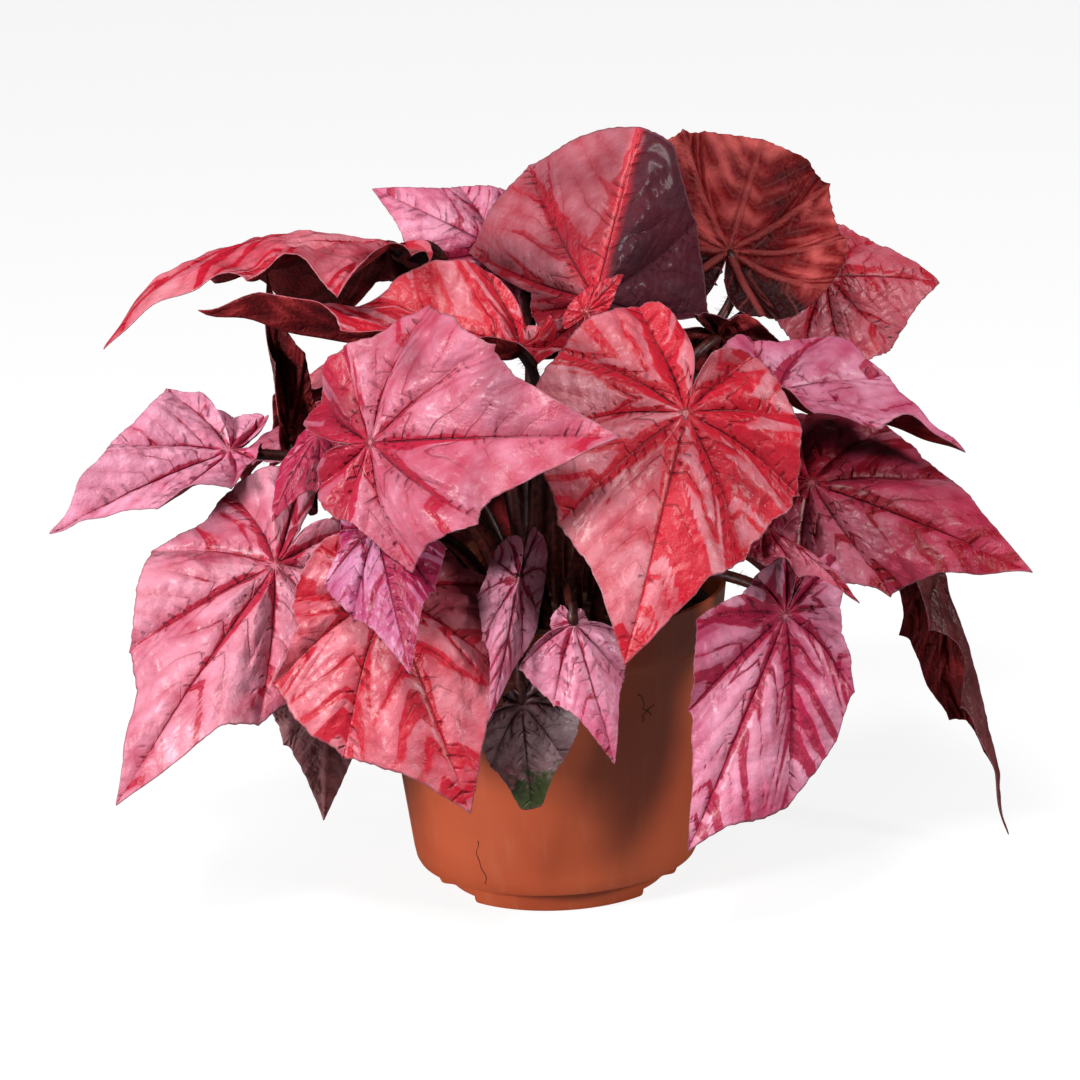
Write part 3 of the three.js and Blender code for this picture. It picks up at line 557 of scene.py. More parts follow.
# How much pearl lies on the leaves that have more or less of it than most.
PEARL = {
    "leaf_front_left": 0.1, "leaf_left_mid": 1.1, "leaf_left_low": 0.85, "leaf_low_pale": 0.8,
    "leaf_centre_folded": 0.9, "leaf_right_low": 0.7,
}
RIBS = np.array([0.0, 34.0, 74.0, 112.0, 150.0, 180.0])
FRONT_DEG = 74.0
BEHIND_DEG = 93.0
TIP_DEG = 20.0
LOBES = (34.0, 74.0)
LOBE_POINT = 0.025
TOOTH_MM = 4.4
TOOTH_DEPTH_MM = 0.55
BLADE_T = 0.7
RIB_RELIEF = 0.02
MARGIN_WAVE = 0.03
RIB_BAND = 0.075
BRANCH_SPACING = 0.15
BRANCH_LEAN = 1.5
BRANCH_MEET = 0.72
PUCKER = 0.013
FRILL = 0.028
# Leaves that lie close against a neighbour: the share of their frill and of their margin's wander
# that is left, and how far the margin is drawn in, as a share of its reach.
CALM = {
    "leaf_low_pale": 0.0, "leaf_centre_folded": 0.0, "leaf_old": 0.0, "leaf_lilac": 0.0,
    "leaf_top_pink": 0.0, "leaf_top_centre": 0.3, "leaf_top_right": 0.0,
}
DRAWN_IN = {
    "leaf_low_pale": 0.06, "leaf_centre_folded": 0.06, "leaf_old": 0.04, "leaf_lilac": 0.03,
    "leaf_top_right": 0.02,
}
RIB_CURVE_DEG = 15.0
VALLEY = 0.02
VALLEY_HALF = 0.03
FINE = {"panels": 15, "rings": 60}
PLAIN = {"panels": 10, "rings": 40}


def leaf_axes(leaf):
    """The leaf's joint, its directions along the midrib, out of its upper side and across, half the
    angle of the midrib's arc, and its length along that arc."""
    base = np.array(leaf["base"], float)
    along = np.array(leaf["tip"], float) - base
    chord = np.linalg.norm(along)
    along /= chord
    up = np.array(leaf["face"], float)
    up -= along * (up @ along)
    up /= np.linalg.norm(up)
    bow = math.radians(leaf["arch"]) / 2
    return base, along, up, np.cross(up, along), bow, chord * bow / math.sin(bow)


def margin_reach(leaf, turn, length, seed):
    """Reach of the margin for each turn, as a share of the leaf's length: the outline's broad or
    narrow half, drawn in behind the joint, with a small point where each lobe's rib ends,
    forward-leaning teeth, which are a saw wave along the margin's own length, and an uneven wander.
    Leaves close to a neighbour are drawn in a little, all but their tip."""
    off = np.abs(turn)
    half = np.where(turn * leaf["side"] >= 0, 1, 2)
    reach = 0
    for shift in np.linspace(-1, 1, 7):
        near = off + shift * np.interp(off, [0, 20, 40, 150, 180], [0, 2, 11, 11, 0])
        broad, narrow = (np.interp(near, OUTLINE[:, 0], OUTLINE[:, k]) for k in (1, 2))
        broad = broad + leaf.get("full", 0) * np.sin(np.pi * np.clip(near / FRONT_DEG, 0, 1))
        reach = reach + np.where(half == 1, broad, narrow) / 7
    reach = reach * np.interp(off, [FRONT_DEG, BEHIND_DEG], [1, leaf.get("heel", 1)])
    for lobe in LOBES:
        reach = reach + LOBE_POINT * np.exp(-np.abs(off - lobe) / 3)
    reach = np.minimum(reach, leaf.get("blunt", 1))
    x = reach * length * np.cos(np.radians(turn))
    y = reach * length * np.sin(np.radians(turn)) * leaf["wide"]
    arc = np.concatenate([[0], np.cumsum(np.hypot(np.diff(x), np.diff(y)))])
    saw = (arc / TOOTH_MM + 0.4 * hum(x, y, 20, seed)) % 1 - 0.5
    teeth = np.where(off > 3, TOOTH_DEPTH_MM / length * saw, 0)
    wander = 0.014 * hum(x, y, 26, seed + 1) + 0.006 * hum(x, y, 9, seed + 8)
    off_tip = np.clip(off / TIP_DEG, 0, 1)
    drawn_in = DRAWN_IN.get(leaf["name"], 0) * off_tip
    return reach * (1 - drawn_in) + teeth + wander * off_tip * CALM.get(leaf["name"], 1)


def painted_bands(leaf, turn, share, which, part, branch, phase, r, length, seed):
    """How far a point lies inside the edge of a painted red band, in millimetres, negative outside.
    A band runs along each side of each rib: its width swells from nothing near the joint and tapers off
    before the margin. Others run along branch veins and taper away from the rib. Widths and lengths
    are random, and grow with the redness of the leaf's half."""
    draw = np.random.default_rng(seed + 50)
    half = (turn < 0).astype(int)
    behind = np.abs(turn) > BEHIND_DEG
    red = np.array(REDNESS.get(leaf["name"], TONE_RED[leaf["tone"]]))[np.where(behind, 2, 1 - half)]
    drawn = draw.uniform((0, 0.25, 0.4), (1, 0.45, 1.15), (2, len(RIBS), 2, 3))
    width, peak, end = drawn.transpose(3, 0, 1, 2)
    bands = []
    for side, near in ((0, part), (1, 1 - part)):
        last = end[half, which, side]
        top = peak[half, which, side] * last
        swell = np.clip(share / top, 0, 1) ** 0.6 * np.clip((last - share) / (last - top), 0, 1) ** 0.8
        reach = RIB_BAND * length * width[half, which, side] ** 1.3 * (0.25 + 1.5 * red) * swell
        bands.append(reach - r * np.sin(np.radians(near * np.diff(RIBS)[which])))
    line = np.round(phase).astype(int)
    vein = draw.uniform(0, 1, (2, 2, len(RIBS), 24))[:, half, which, line % 24]
    spacing = BRANCH_SPACING * length / math.hypot(1, BRANCH_LEAN)
    along = branch / np.maximum(r * np.sin(np.radians(BRANCH_MEET * np.diff(RIBS)[which])), 1e-6)
    taper = np.clip(1 - along ** 1.5 * (0.5 + vein[1]), 0, 1)
    reach = spacing * 0.75 * np.clip(vein[0] - 0.95 + red, 0, 1) ** 0.8 * taper
    bands.append(reach - np.abs(phase - line) * spacing)
    return np.clip(np.max(bands, axis=0) + 3 * (red - 0.5) * (red > 0.5), -9, 9)


def blade_surface(leaf, turn, share, seed):
    """The blade as a surface of two parameters: turn from the midrib and share of the way out to the
    margin. Its ribs curve forward as they run out. Its height is a puffed panel between each two ribs,
    a wave and a frill along the margin, and a groove along each rib and branch vein with the skin
    bulging between. The halves then roll about the midrib, twist along it, and follow the midrib,
    which is an arc of a circle. Returns the points, and for each the
    place on the flat blade, the distance to the nearest rib, the branch veins' phase and how far it
    lies inside a painted band."""
    base, along, up, across, bow, length = leaf_axes(leaf)
    off = np.abs(turn)
    angle = np.radians(turn + RIB_CURVE_DEG * (1 - share) ** 1.3 * np.sin(np.radians(turn)))
    r = margin_reach(leaf, turn, length, seed) * length * share
    a = r * np.cos(angle)
    b = r * np.sin(angle) * leaf["wide"]
    nearest = RIBS[:-1][np.argmin(np.abs(off[:, None] - RIBS[:-1]), axis=1)]
    d = r * np.sin(np.radians(np.abs(off - nearest)))
    which = np.minimum(np.searchsorted(RIBS, off, side="right") - 1, len(RIBS) - 2)
    part = (off - RIBS[which]) / np.diff(RIBS)[which]
    puff = -1 + 2 * np.sin(np.pi * part) ** 0.75
    reach_in = np.sin(np.radians(np.minimum(part, BRANCH_MEET) * np.diff(RIBS)[which]))
    branch = r * reach_in * np.minimum(1, (1 - part) / (1 - BRANCH_MEET))
    draw = np.random.default_rng(seed).uniform(0, 1, (2, 2, len(RIBS)))[:, (turn < 0).astype(int), which]
    phase = (r - BRANCH_LEAN * branch) / (BRANCH_SPACING * length) * (0.8 + 0.4 * draw[0])
    phase = phase + draw[1] * np.clip(branch / 4, 0, 1)
    phase = phase + 0.25 * hum(a, b, 50, seed + 2) + 0.08 * hum(a, b, 16, seed + 7)
    paint = painted_bands(leaf, turn, share, which, part, branch, phase, r, length, seed)
    ridge = np.abs(np.sin(np.pi * phase)) ** 0.4 * np.clip(0.75 + hum(a, b, 30, seed + 10), 0, 1.7)
    room = np.clip(d / (0.06 * length), 0, 1) * np.clip(r / (0.1 * length), 0, 1)
    room = room * np.clip(6 - 6 * share, 0, 1)
    crumple = 0.25 * hum(a, b, 0.09 * length, seed + 3) + 0.2 * hum(a, b, 0.05 * length, seed + 4)
    h = RIB_RELIEF * length * share * puff
    groove = np.exp(-d / (VALLEY_HALF * length)) * np.clip((r - 2) / (0.06 * length), 0, 1)
    h = h - VALLEY * length * (groove * np.clip(3 - 3 * share, 0, 1))
    h = h + MARGIN_WAVE * length * share**2 * np.sin(5 * angle + base[0])
    frill = FRILL * CALM.get(leaf["name"], 1)
    h = h + frill * length * share**3 * hum(a, b, 0.3 * length, seed + 9)
    h = h + PUCKER * length * room * (ridge - 0.6 + crumple)
    fold = math.radians(leaf["fold"])
    roll = math.radians(leaf["curl"] or 0.01) / (length / 2)
    out = np.abs(b)
    w = (np.sin(fold + roll * out) - math.sin(fold)) / roll * np.sign(b)
    h = h + (np.cos(fold + roll * out) - math.cos(fold)) / roll
    twist = math.radians(leaf.get("twist", 0)) * a / length
    side = w * np.cos(twist) - h * np.sin(twist)
    rise = w * np.sin(twist) + h * np.cos(twist)
    bend = 2 * bow / length
    slope = bow - bend * np.maximum(a, 0)
    behind = np.minimum(a, 0)
    forward = (math.sin(bow) - np.sin(slope)) / bend + behind * math.cos(bow)
    lift = (np.cos(slope) - math.cos(bow)) / bend + behind * math.sin(bow)
    points = (base + (forward - rise * np.sin(slope))[..., None] * along
              + (lift + rise * np.cos(slope))[..., None] * up + side[..., None] * across)
    return points, a, b, d, phase, paint


def surface_normals(points):
    """Unit normals of a polar grid: the step outwards crossed with the step round."""
    round_step = np.roll(points, -1, axis=1) - np.roll(points, 1, axis=1)
    normal = np.cross(np.gradient(points, axis=0), round_step)
    return normal / np.maximum(np.linalg.norm(normal, axis=-1, keepdims=True), 1e-9)


HOLE_RINGS = ((6, 9.0), (12, 18.0), (16, 27.5))
HOLE_SPACING = 7.2
STALK_R = 2.2
STALK_ROOT = 7.0
STALK_RISE = 0.25
NECK_DROP = 0.14
NECK_BEHIND = 0.16
STALK_SIDES = 12
STALK_STEPS = 40
STALK_SINK = 0.9
HAIR_COUNT = 170
HAIR_MM = (1.6, 3.4)
HAIR_R = 0.09


def leaf_bearing(leaf):
    """Direction of a leaf's joint from the pot's axis, in radians."""
    return math.atan2(leaf["base"][1], leaf["base"][0])


def stalk_places(leaves):
    """Where each stalk leaves the crown: three rings, the lowest leaves outermost, each on its own
    leaf's bearing and pushed round until none is nearer its neighbour than the spacing."""
    by_height = sorted(leaves, key=lambda leaf: -leaf["base"][2])
    places = {}
    first = 0
    for count, radius in HOLE_RINGS:
        group = sorted(by_height[first : first + count], key=leaf_bearing)
        first += count
        turns = [leaf_bearing(leaf) for leaf in group]
        for _ in range(200):
            for i in range(len(turns)):
                k = (i + 1) % len(turns)
                between = turns[k] - turns[i] + (0 if k else 2 * math.pi)
                push = max(0, HOLE_SPACING / radius - between) / 2
                turns[i] -= push
                turns[k] += push
        for leaf, turn in zip(group, turns):
            places[leaf["name"]] = (radius * math.cos(turn), radius * math.sin(turn))
    return places


def stalk_path(leaf, place):
    """The stalk's middle line and tangents: straight up out of the crown, then a cubic Bezier curve
    that nears the joint from below and behind the blade."""
    base, along, up = leaf_axes(leaf)[:3]
    x, y = place
    z = float(crown_height(x, y))
    start = np.array([x, y, z + 2])
    end = base - up * (0.4 * BLADE_T + STALK_SINK)
    span = np.linalg.norm(end - start)
    lean = np.array([0, 0, leaf.get("rise", STALK_RISE) * span + STALK_RISE * abs(end[2] - start[2])])
    neck = end - up * NECK_DROP * span - along * NECK_BEHIND * span
    neck = np.array(leaf.get("neck", neck), float)
    t = np.linspace(0, 1, STALK_STEPS)[:, None]
    rise = start + lean
    curve = (1 - t) ** 3 * start + 3 * t * (1 - t) ** 2 * rise + 3 * t**2 * (1 - t) * neck + t**3 * end
    slope = 3 * ((1 - t) ** 2 * (rise - start) + 2 * t * (1 - t) * (neck - rise) + t**2 * (end - neck))
    path = np.concatenate([[[x, y, z - STALK_ROOT]], curve])
    tangent = np.concatenate([[[0, 0, 1]], slope])
    tangent /= np.linalg.norm(tangent, axis=1, keepdims=True)
    across_plane = np.cross([0, 0, 1], end - start)
    first = across_plane - tangent * (tangent @ across_plane)[:, None]
    first /= np.linalg.norm(first, axis=1, keepdims=True)
    return path, first, np.cross(tangent, first), tangent


def make_stalk(leaf, place, seed):
    """The stalk is a circle carried along its path, thicker at the foot and drawn in at the joint. Its
    hairs are three-sided spikes set square to it at random, the base of each sunk in the skin."""
    path, first, second, tangent = stalk_path(leaf, place)
    rows = len(path)
    climb = np.linspace(0, 1, rows)
    radius = STALK_R * (1.12 - 0.28 * climb) + 0.5 * np.exp(-climb * 14)
    radius[-1] = 0.6 * STALK_R
    turn = np.linspace(0, 2 * math.pi, STALK_SIDES, endpoint=False)
    ribbed = 1 + 0.05 * np.cos(4 * turn)
    ring = ((np.cos(turn) * ribbed)[None, :, None] * first[:, None]
            + (np.sin(turn) * ribbed)[None, :, None] * second[:, None])
    tube = (path[:, None] + radius[:, None, None] * ring).reshape(-1, 3)
    quads = ring_quads(rows, STALK_SIDES)
    foot = lid(0, STALK_SIDES, forwards=False)
    head = lid((rows - 1) * STALK_SIDES, STALK_SIDES)
    draw = np.random.default_rng(seed)
    where = draw.uniform(3, rows - 3, HAIR_COUNT)
    row = where.astype(int)
    part = (where - row)[:, None]
    spin = draw.uniform(0, 2 * math.pi, HAIR_COUNT)[:, None]
    middle = path[row] * (1 - part) + path[row + 1] * part
    outward = np.cos(spin) * first[row] + np.sin(spin) * second[row]
    thick = np.interp(where, np.arange(rows), radius)[:, None]
    sideways = np.cross(tangent[row], outward)
    root = middle + outward * (thick - 0.15)
    length = draw.uniform(*HAIR_MM, HAIR_COUNT)[:, None]
    lean = tangent[row] * draw.uniform(-0.3, 0.3, (HAIR_COUNT, 1))
    lean = lean + sideways * draw.uniform(-0.3, 0.3, (HAIR_COUNT, 1))
    point = root + (outward + lean) * length
    thirds = (0, 2.094, 4.189)
    corners = [root + HAIR_R * (math.cos(k) * sideways + math.sin(k) * tangent[row]) for k in thirds]
    hairs = np.stack([*corners, point], 1).reshape(-1, 3)
    spike = np.array([[0, 1, 3], [1, 2, 3], [2, 0, 3], [0, 2, 1]])
    spikes = (spike[None] + 4 * np.arange(HAIR_COUNT)[:, None, None]).reshape(-1, 3) + len(tube)
    return np.concatenate([tube, hairs]), quads, np.concatenate([foot, head, spikes])


def make_leaf(leaf, place, seed, detail, skins):
    """One leaf: the upper side, the underside set below it by the blade's thickness with each rib and
    branch vein standing proud as a rounded ridge, a strip round the margin that joins the two, and the
    stalk with its hairs."""
    step = np.linspace(0, 1, detail["panels"] + 1)[:-1]
    knots = np.array([0, 17, 34, 54, 74, 93, 112, 131, 150, 166, 180.0])
    half = [knots[i] + (knots[i + 1] - knots[i]) * (step if i else step**1.6) for i in range(10)]
    half = np.concatenate(half)
    turn = np.concatenate([half, [180.0], -half[:0:-1]])
    count = len(turn)
    share = np.linspace(0, 1, detail["rings"] + 1)[1:, None] ** 0.85
    upper, a, b, d, phase, paint = blade_surface(leaf, turn, share, seed)
    low = slice(1, None, 2)
    normal = surface_normals(upper)
    reach = share[low]
    keel = 0.9 * np.exp(-((d[low] / 0.9) ** 2)) * (1.05 - reach)
    twig = 0.35 * np.exp(-((np.sin(np.pi * phase[low]) / 0.25) ** 2))
    twig = twig * np.clip(d[low] / 3, 0, 1) * (1 - reach)
    below = BLADE_T * (0.45 + 0.55 * np.clip((1 - reach) * 8, 0, 1))
    under = upper[low] - normal[low] * (below + keel + twig)[..., None]
    base, _, up = leaf_axes(leaf)[:3]
    poles = np.stack([base - up * 0.1, base - up * (BLADE_T + 1.1)])
    rows_up, rows_low = len(upper), len(under)
    total_up, total_low = rows_up * count, rows_low * count
    j = np.arange(count)
    k = (j + 1) % count
    rim_up, rim_low = total_up - count, total_up + total_low - count
    pole = total_up + total_low
    stalk, stalk_quads, stalk_triangles = make_stalk(leaf, place, seed)
    points = np.concatenate([upper.reshape(-1, 3), under.reshape(-1, 3), poles, stalk])
    top = ring_quads(rows_up, count)[:, ::-1]
    bottom = ring_quads(rows_low, count) + total_up
    rim = np.stack([rim_up + j, rim_low + j, rim_low + k, rim_up + k], 1)
    fan_up = fan(pole, 0, count)
    fan_low = fan(pole + 1, total_up, count, forwards=False)
    quads = np.concatenate([top, rim, bottom, stalk_quads + pole + 2])
    triangles = np.concatenate([fan_up, fan_low, stalk_triangles + pole + 2])
    slots = np.concatenate([
        np.zeros(len(top) + len(rim), int), np.ones(len(bottom), int), np.full(len(stalk_quads), 2),
        np.zeros(count, int), np.ones(count, int), np.full(len(stalk_triangles), 2)])
    pearl = PEARL.get(leaf["name"], 0.5) + 0.5 * hum(a, b, 40, seed + 6)
    # Painted shade for the one leaf that has it is carried as negative pearl in the tint map.
    painted_shade = np.array(PAINTED_SHADE_HALVES.get(leaf["name"], (0, 0)))[(turn >= 0).astype(int)]
    pearl = pearl * (1 - painted_shade) - painted_shade * np.clip(np.abs(b) / 4 + 0.4 * hum(a, b, 18, seed + 11), 0, 1)
    bearing = np.abs(turn)[None, :] / 180 + 3 * seed + 0 * share
    spread = share + 0 * bearing

    def laid(u, v, rest=(0.0, 0.0)):
        upper_uv = np.stack([u, v], -1).reshape(-1, 2)
        under_uv = np.stack([u[low], v[low]], -1).reshape(-1, 2)
        tail = np.tile(rest, (2 + len(stalk), 1))
        return np.concatenate([upper_uv, under_uv, tail])

    maps = {"veins": laid(phase, d / 10), "blade": laid(a / 10, b / 10), "polar": laid(bearing, spread),
            "tint": laid(paint / 10, pearl, (-0.5, 0.5))}
    made = piece(leaf["name"].replace("leaf", "blade"), points, quads, triangles, skins, slots, maps)
    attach(made, "root")
    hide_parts(leaf["name"])


# Skin colours of each tone: the darker and the paler of the panels, the painted streaks, the pearl
# sheen over them, and the sunken veins, whose colour is also the painted shade in the creases.
TONES = {
    "crimson": ("#a83e4a", "#c06a76", "#b00822", "#ce8c96", "#401420"),
    "salmon": ("#aa465c", "#bd6c82", "#a21230", "#d896a8", "#541e30"),
    "coral": ("#ae3c4a", "#c46674", "#ac0a24", "#d28a94", "#441622"),
    "pink": ("#ae4062", "#cc7492", "#9a1038", "#dea6bc", "#541c36"),
    "lilac": ("#9a2a5a", "#b8688e", "#8c0a38", "#cf96b6", "#4a1838"),
    "burgundy": ("#8c1632", "#ae3852", "#86061c", "#c47e92", "#300a1a"),
    "maroon": ("#4a1013", "#642426", "#4a0a0e", "#7c4044", "#240809"),
    "old": ("#6a4044", "#9c7e82", "#5e2a32", "#a8949a", "#2e2024"),
}


def painted_skin(tone):
    """The upper skin of a leaf of one tone: satin, air-filled cells give a pearly pink, streaks of red
    sap run beside the veins, and the veins themselves are sunk, thin and dark."""
    dark, pale, streak, sheen, line = TONES[tone]
    made, tree = material("begonia_leaf_skin_" + tone)
    place = node(tree, "TexCoord").outputs["Object"]
    veins = node(tree, "SeparateXYZ", (node(tree, "UVMap", uv_map="veins"),))
    polar = node(tree, "SeparateXYZ", (node(tree, "UVMap", uv_map="polar"),))
    blade = node(tree, "UVMap", uv_map="blade")
    tint = node(tree, "SeparateXYZ", (node(tree, "UVMap", uv_map="tint"),))
    phase, rib = veins.outputs[:2]
    bearing, reach = polar.outputs[:2]
    paint, pearl_and_painted_shade = tint.outputs[:2]
    between = node(tree, "Math", (phase, 0.5), operation="PINGPONG")
    cloud = node(tree, "TexNoise", {"Vector": place, "Scale": 70.0, "Detail": 4.0})
    spots = node(tree, "TexNoise", {"Vector": place, "Scale": 260.0, "Detail": 3.0})
    sweep = node(tree, "Math", (bearing, 9.0), operation="MULTIPLY")
    drawn = node(tree, "CombineXYZ", (phase, sweep))
    brush = node(tree, "TexNoise", {"Vector": drawn, "Scale": 1.8, "Detail": 1.0})

    # Panels go from the darker to the paler pink towards the middle between two branch veins.
    rise = node(tree, "Math", (between, 0.12, cloud), operation="MULTIPLY_ADD")
    panel = node(tree, "MapRange", (rise, 0.36, 0.64))
    skin = node(tree, "Mix", {0: panel, 6: dark, 7: pale}, data_type="RGBA")

    # Pearl patches lie here and there on the panels.
    high = node(tree, "Math", (cloud, pearl_and_painted_shade), operation="MULTIPLY")
    pearl = node(tree, "MapRange", (high, 0.22, 0.5, 0.0, 0.5))
    skin = node(tree, "Mix", {0: pearl, 6: skin, 7: sheen}, data_type="RGBA")

    # Painted bands have ragged, brushed edges about a millimetre soft, and a faint blush beyond them.
    rough_edge = node(tree, "Math", (brush, 0.3, paint), operation="MULTIPLY_ADD")
    ragged = node(tree, "Math", (spots, 0.15, rough_edge), operation="MULTIPLY_ADD")
    band = node(tree, "MapRange", (ragged, 0.2, 0.28, 0.0, 0.95), interpolation_type="SMOOTHSTEP")
    blush = node(tree, "MapRange", (ragged, -0.2, 0.3, 0.0, 0.3), interpolation_type="SMOOTHSTEP")
    painted = node(tree, "Math", (band, blush), operation="MAXIMUM")
    skin = node(tree, "Mix", {0: painted, 6: skin, 7: streak}, data_type="RGBA")

    # Painted shade: one leaf's halves are painted dark purple where they lie in shade, and are rougher there.
    painted_shade = node(tree, "MapRange", (pearl_and_painted_shade, -1.0, 0.0, 1.0, 0.0))
    skin = node(tree, "Mix", {0: painted_shade, 6: skin, 7: "#360a1c"}, data_type="RGBA")

    # The old leaf withers from its end, which is dark green.
    if tone == "old":
        end = node(tree, "SeparateXYZ", (blade,))
        ragged_end = node(tree, "Math", (spots, 3.0, end), operation="MULTIPLY_ADD")
        withered = node(tree, "MapRange", (ragged_end, 3.9, 4.3))
        green = node(tree, "Mix", {0: panel, 6: "#1d2412", 7: "#4a5428"}, data_type="RGBA")
        skin = node(tree, "Mix", {0: withered, 6: skin, 7: green}, data_type="RGBA")

    # Ribs are lines about 0.7 mm wide, branch veins half that, both fading to the margin.
    wiggle = node(tree, "Math", (spots, 0.03, rib), operation="MULTIPLY_ADD")
    rib_line = node(tree, "MapRange", (wiggle, 0.022, 0.05, 0.6, 0.0))
    branch_line = node(tree, "MapRange", (between, 0.01, 0.04, 0.4, 0.0))
    lines = node(tree, "Math", (rib_line, branch_line), operation="MAXIMUM")
    fade = node(tree, "MapRange", (reach, 0.3, 0.8, 1.0, 0.12))
    lines = node(tree, "Math", (lines, fade), operation="MULTIPLY")
    far = node(tree, "VectorMath", (blade,), operation="LENGTH")
    start = node(tree, "MapRange", (far, 0.15, 0.9))
    lines = node(tree, "Math", (lines, start), operation="MULTIPLY")
    skin = node(tree, "Mix", {0: lines, 6: skin, 7: line}, data_type="RGBA")

    # Short creases cross the skin beside each rib, some four millimetres apart, with painted shade in them.
    slant = node(tree, "Math", (rib, -0.6, far), operation="MULTIPLY_ADD")
    waver = node(tree, "Math", (cloud, 0.5, slant), operation="MULTIPLY_ADD")
    often = node(tree, "Math", (waver, 2.4), operation="MULTIPLY")
    crease = node(tree, "Math", (often, 0.5), operation="PINGPONG")
    crease = node(tree, "MapRange", (crease, 0.02, 0.22, 1.0, 0.0))
    beside = node(tree, "MapRange", (rib, 0.15, 0.6, 1.0, 0.0))
    some = node(tree, "MapRange", (brush, 0.5, 0.62))
    crease = node(tree, "Math", (crease, beside), operation="MULTIPLY")
    crease = node(tree, "Math", (crease, some), operation="MULTIPLY")
    shade = node(tree, "Math", (crease, 0.32), operation="MULTIPLY")
    skin = node(tree, "Mix", {0: shade, 6: skin, 7: line}, data_type="RGBA")

    # The joint is a pale hub, and the margin a fine greyish line.
    hub = node(tree, "MapRange", (far, 0.05, 0.3, 0.3, 0.0))
    skin = node(tree, "Mix", {0: hub, 6: skin, 7: "#9c5a58"}, data_type="RGBA")
    edge = node(tree, "MapRange", (reach, 0.982, 0.995, 0.0, 0.6))
    skin = node(tree, "Mix", {0: edge, 6: skin, 7: "#8a5660"}, data_type="RGBA")

    # Sunken veins and creases, and cells of a third of a millimetre, which make the satin.
    cells = node(tree, "TexNoise", {"Vector": place, "Scale": 1500.0, "Detail": 2.0})
    puckers = node(tree, "TexNoise", {"Vector": place, "Scale": 260.0, "Detail": 3.5})
    sunk = node(tree, "Math", (lines, crease), operation="ADD")
    height = node(tree, "Math", (sunk, -0.8, puckers), operation="MULTIPLY_ADD")
    height = node(tree, "Math", (cells, 0.08, height), operation="MULTIPLY_ADD")
    bump = node(tree, "Bump", {"Height": height, "Strength": 0.85, "Distance": 0.0013})
    rough = node(tree, "MapRange", (spots, 0.2, 0.8, 0.34, 0.5))
    rough = node(tree, "Math", (painted_shade, 0.3, rough), operation="MULTIPLY_ADD")
    shader = node(tree, "BsdfPrincipled", {
        "Base Color": skin, "Roughness": rough, "Normal": bump, "IOR": 1.45, "Specular IOR Level": 0.35,
        "Coat Weight": 0.1, "Coat Roughness": 0.2})
    node(tree, "OutputMaterial", (shader,))
    return made


def under_skin(name, dark, middle, pale, rib_colour):
    """The underside: matt skin, darker towards the joint, with painted shade behind it, then deep red; paler
    patches lie here and there, and it is paler still towards the middle of each panel between the branch
    veins, a painted highlight on the bulge; its ribs and branch veins are paler lines."""
    made, tree = material(name)
    place = node(tree, "TexCoord").outputs["Object"]
    veins = node(tree, "SeparateXYZ", (node(tree, "UVMap", uv_map="veins"),))
    polar = node(tree, "SeparateXYZ", (node(tree, "UVMap", uv_map="polar"),))
    phase, rib = veins.outputs[:2]
    bearing, reach = polar.outputs[:2]
    cloud = node(tree, "TexNoise", {"Vector": place, "Scale": 60.0, "Detail": 4.0})
    between = node(tree, "Math", (phase, 0.5), operation="PINGPONG")
    outer = node(tree, "Math", (reach, 0.15, cloud), operation="MULTIPLY_ADD")
    # Painted highlight: paler towards the middle of each panel between the branch veins, where the skin
    # bulges.
    panel = node(tree, "Math", (between, 0.3, outer), operation="MULTIPLY_ADD")
    # Painted shade darkens the skin behind the joint.
    bearing = node(tree, "Math", (bearing,), operation="FRACT")
    behind = node(tree, "MapRange", (bearing, 0.5, 0.75, 0.0, -0.35))
    tone_and_painted_light = node(tree, "Math", (panel, behind), operation="ADD")
    tone_and_painted_light = node(tree, "MapRange", (tone_and_painted_light, 0.42, 0.9))
    skin = node(tree, "ValToRGB", (tone_and_painted_light,), stops=((0.0, dark), (1.0, pale), (0.5, middle)))
    rib_line = node(tree, "MapRange", (rib, 0.03, 0.1, 0.5, 0.0))
    twig = node(tree, "MapRange", (between, 0.02, 0.07, 0.25, 0.0))
    lines = node(tree, "Math", (rib_line, twig), operation="MAXIMUM")
    colour = node(tree, "Mix", {0: lines, 6: skin, 7: rib_colour}, data_type="RGBA")
    net = node(tree, "TexVoronoi", {"Vector": place, "Scale": 420.0}, feature="DISTANCE_TO_EDGE")
    quilt = node(tree, "Math", (between, 2.5, net), operation="MULTIPLY_ADD")
    bump = node(tree, "Bump", {"Height": quilt, "Strength": 0.6, "Distance": 0.0012})
    shader = node(tree, "BsdfPrincipled", {
        "Base Color": colour, "Roughness": 0.5, "Normal": bump, "IOR": 1.45, "Specular IOR Level": 0.12})
    node(tree, "OutputMaterial", (shader,))
    return made


def hairy_stalk():
    """Stalk skin: juicy, red-brown, slightly shiny, with paler flecks; its hairs share it."""
    made, tree = material("begonia_stalk_skin")
    place = node(tree, "TexCoord").outputs["Object"]
    flecks = node(tree, "TexNoise", {"Vector": place, "Scale": 500.0, "Detail": 3.0})
    colour = node(tree, "ValToRGB", (flecks,), stops=((0.4, "#2c0a09"), (0.7, "#54201a")))
    bump = node(tree, "Bump", {"Height": flecks, "Strength": 0.3, "Distance": 0.0004})
    shader = node(tree, "BsdfPrincipled", {
        "Base Color": colour, "Roughness": 0.42, "Normal": bump, "IOR": 1.4})
    node(tree, "OutputMaterial", (shader,))
    return made


underside = under_skin("begonia_leaf_underside", "#280406", "#580e12", "#962c2e", "#6c1c20")
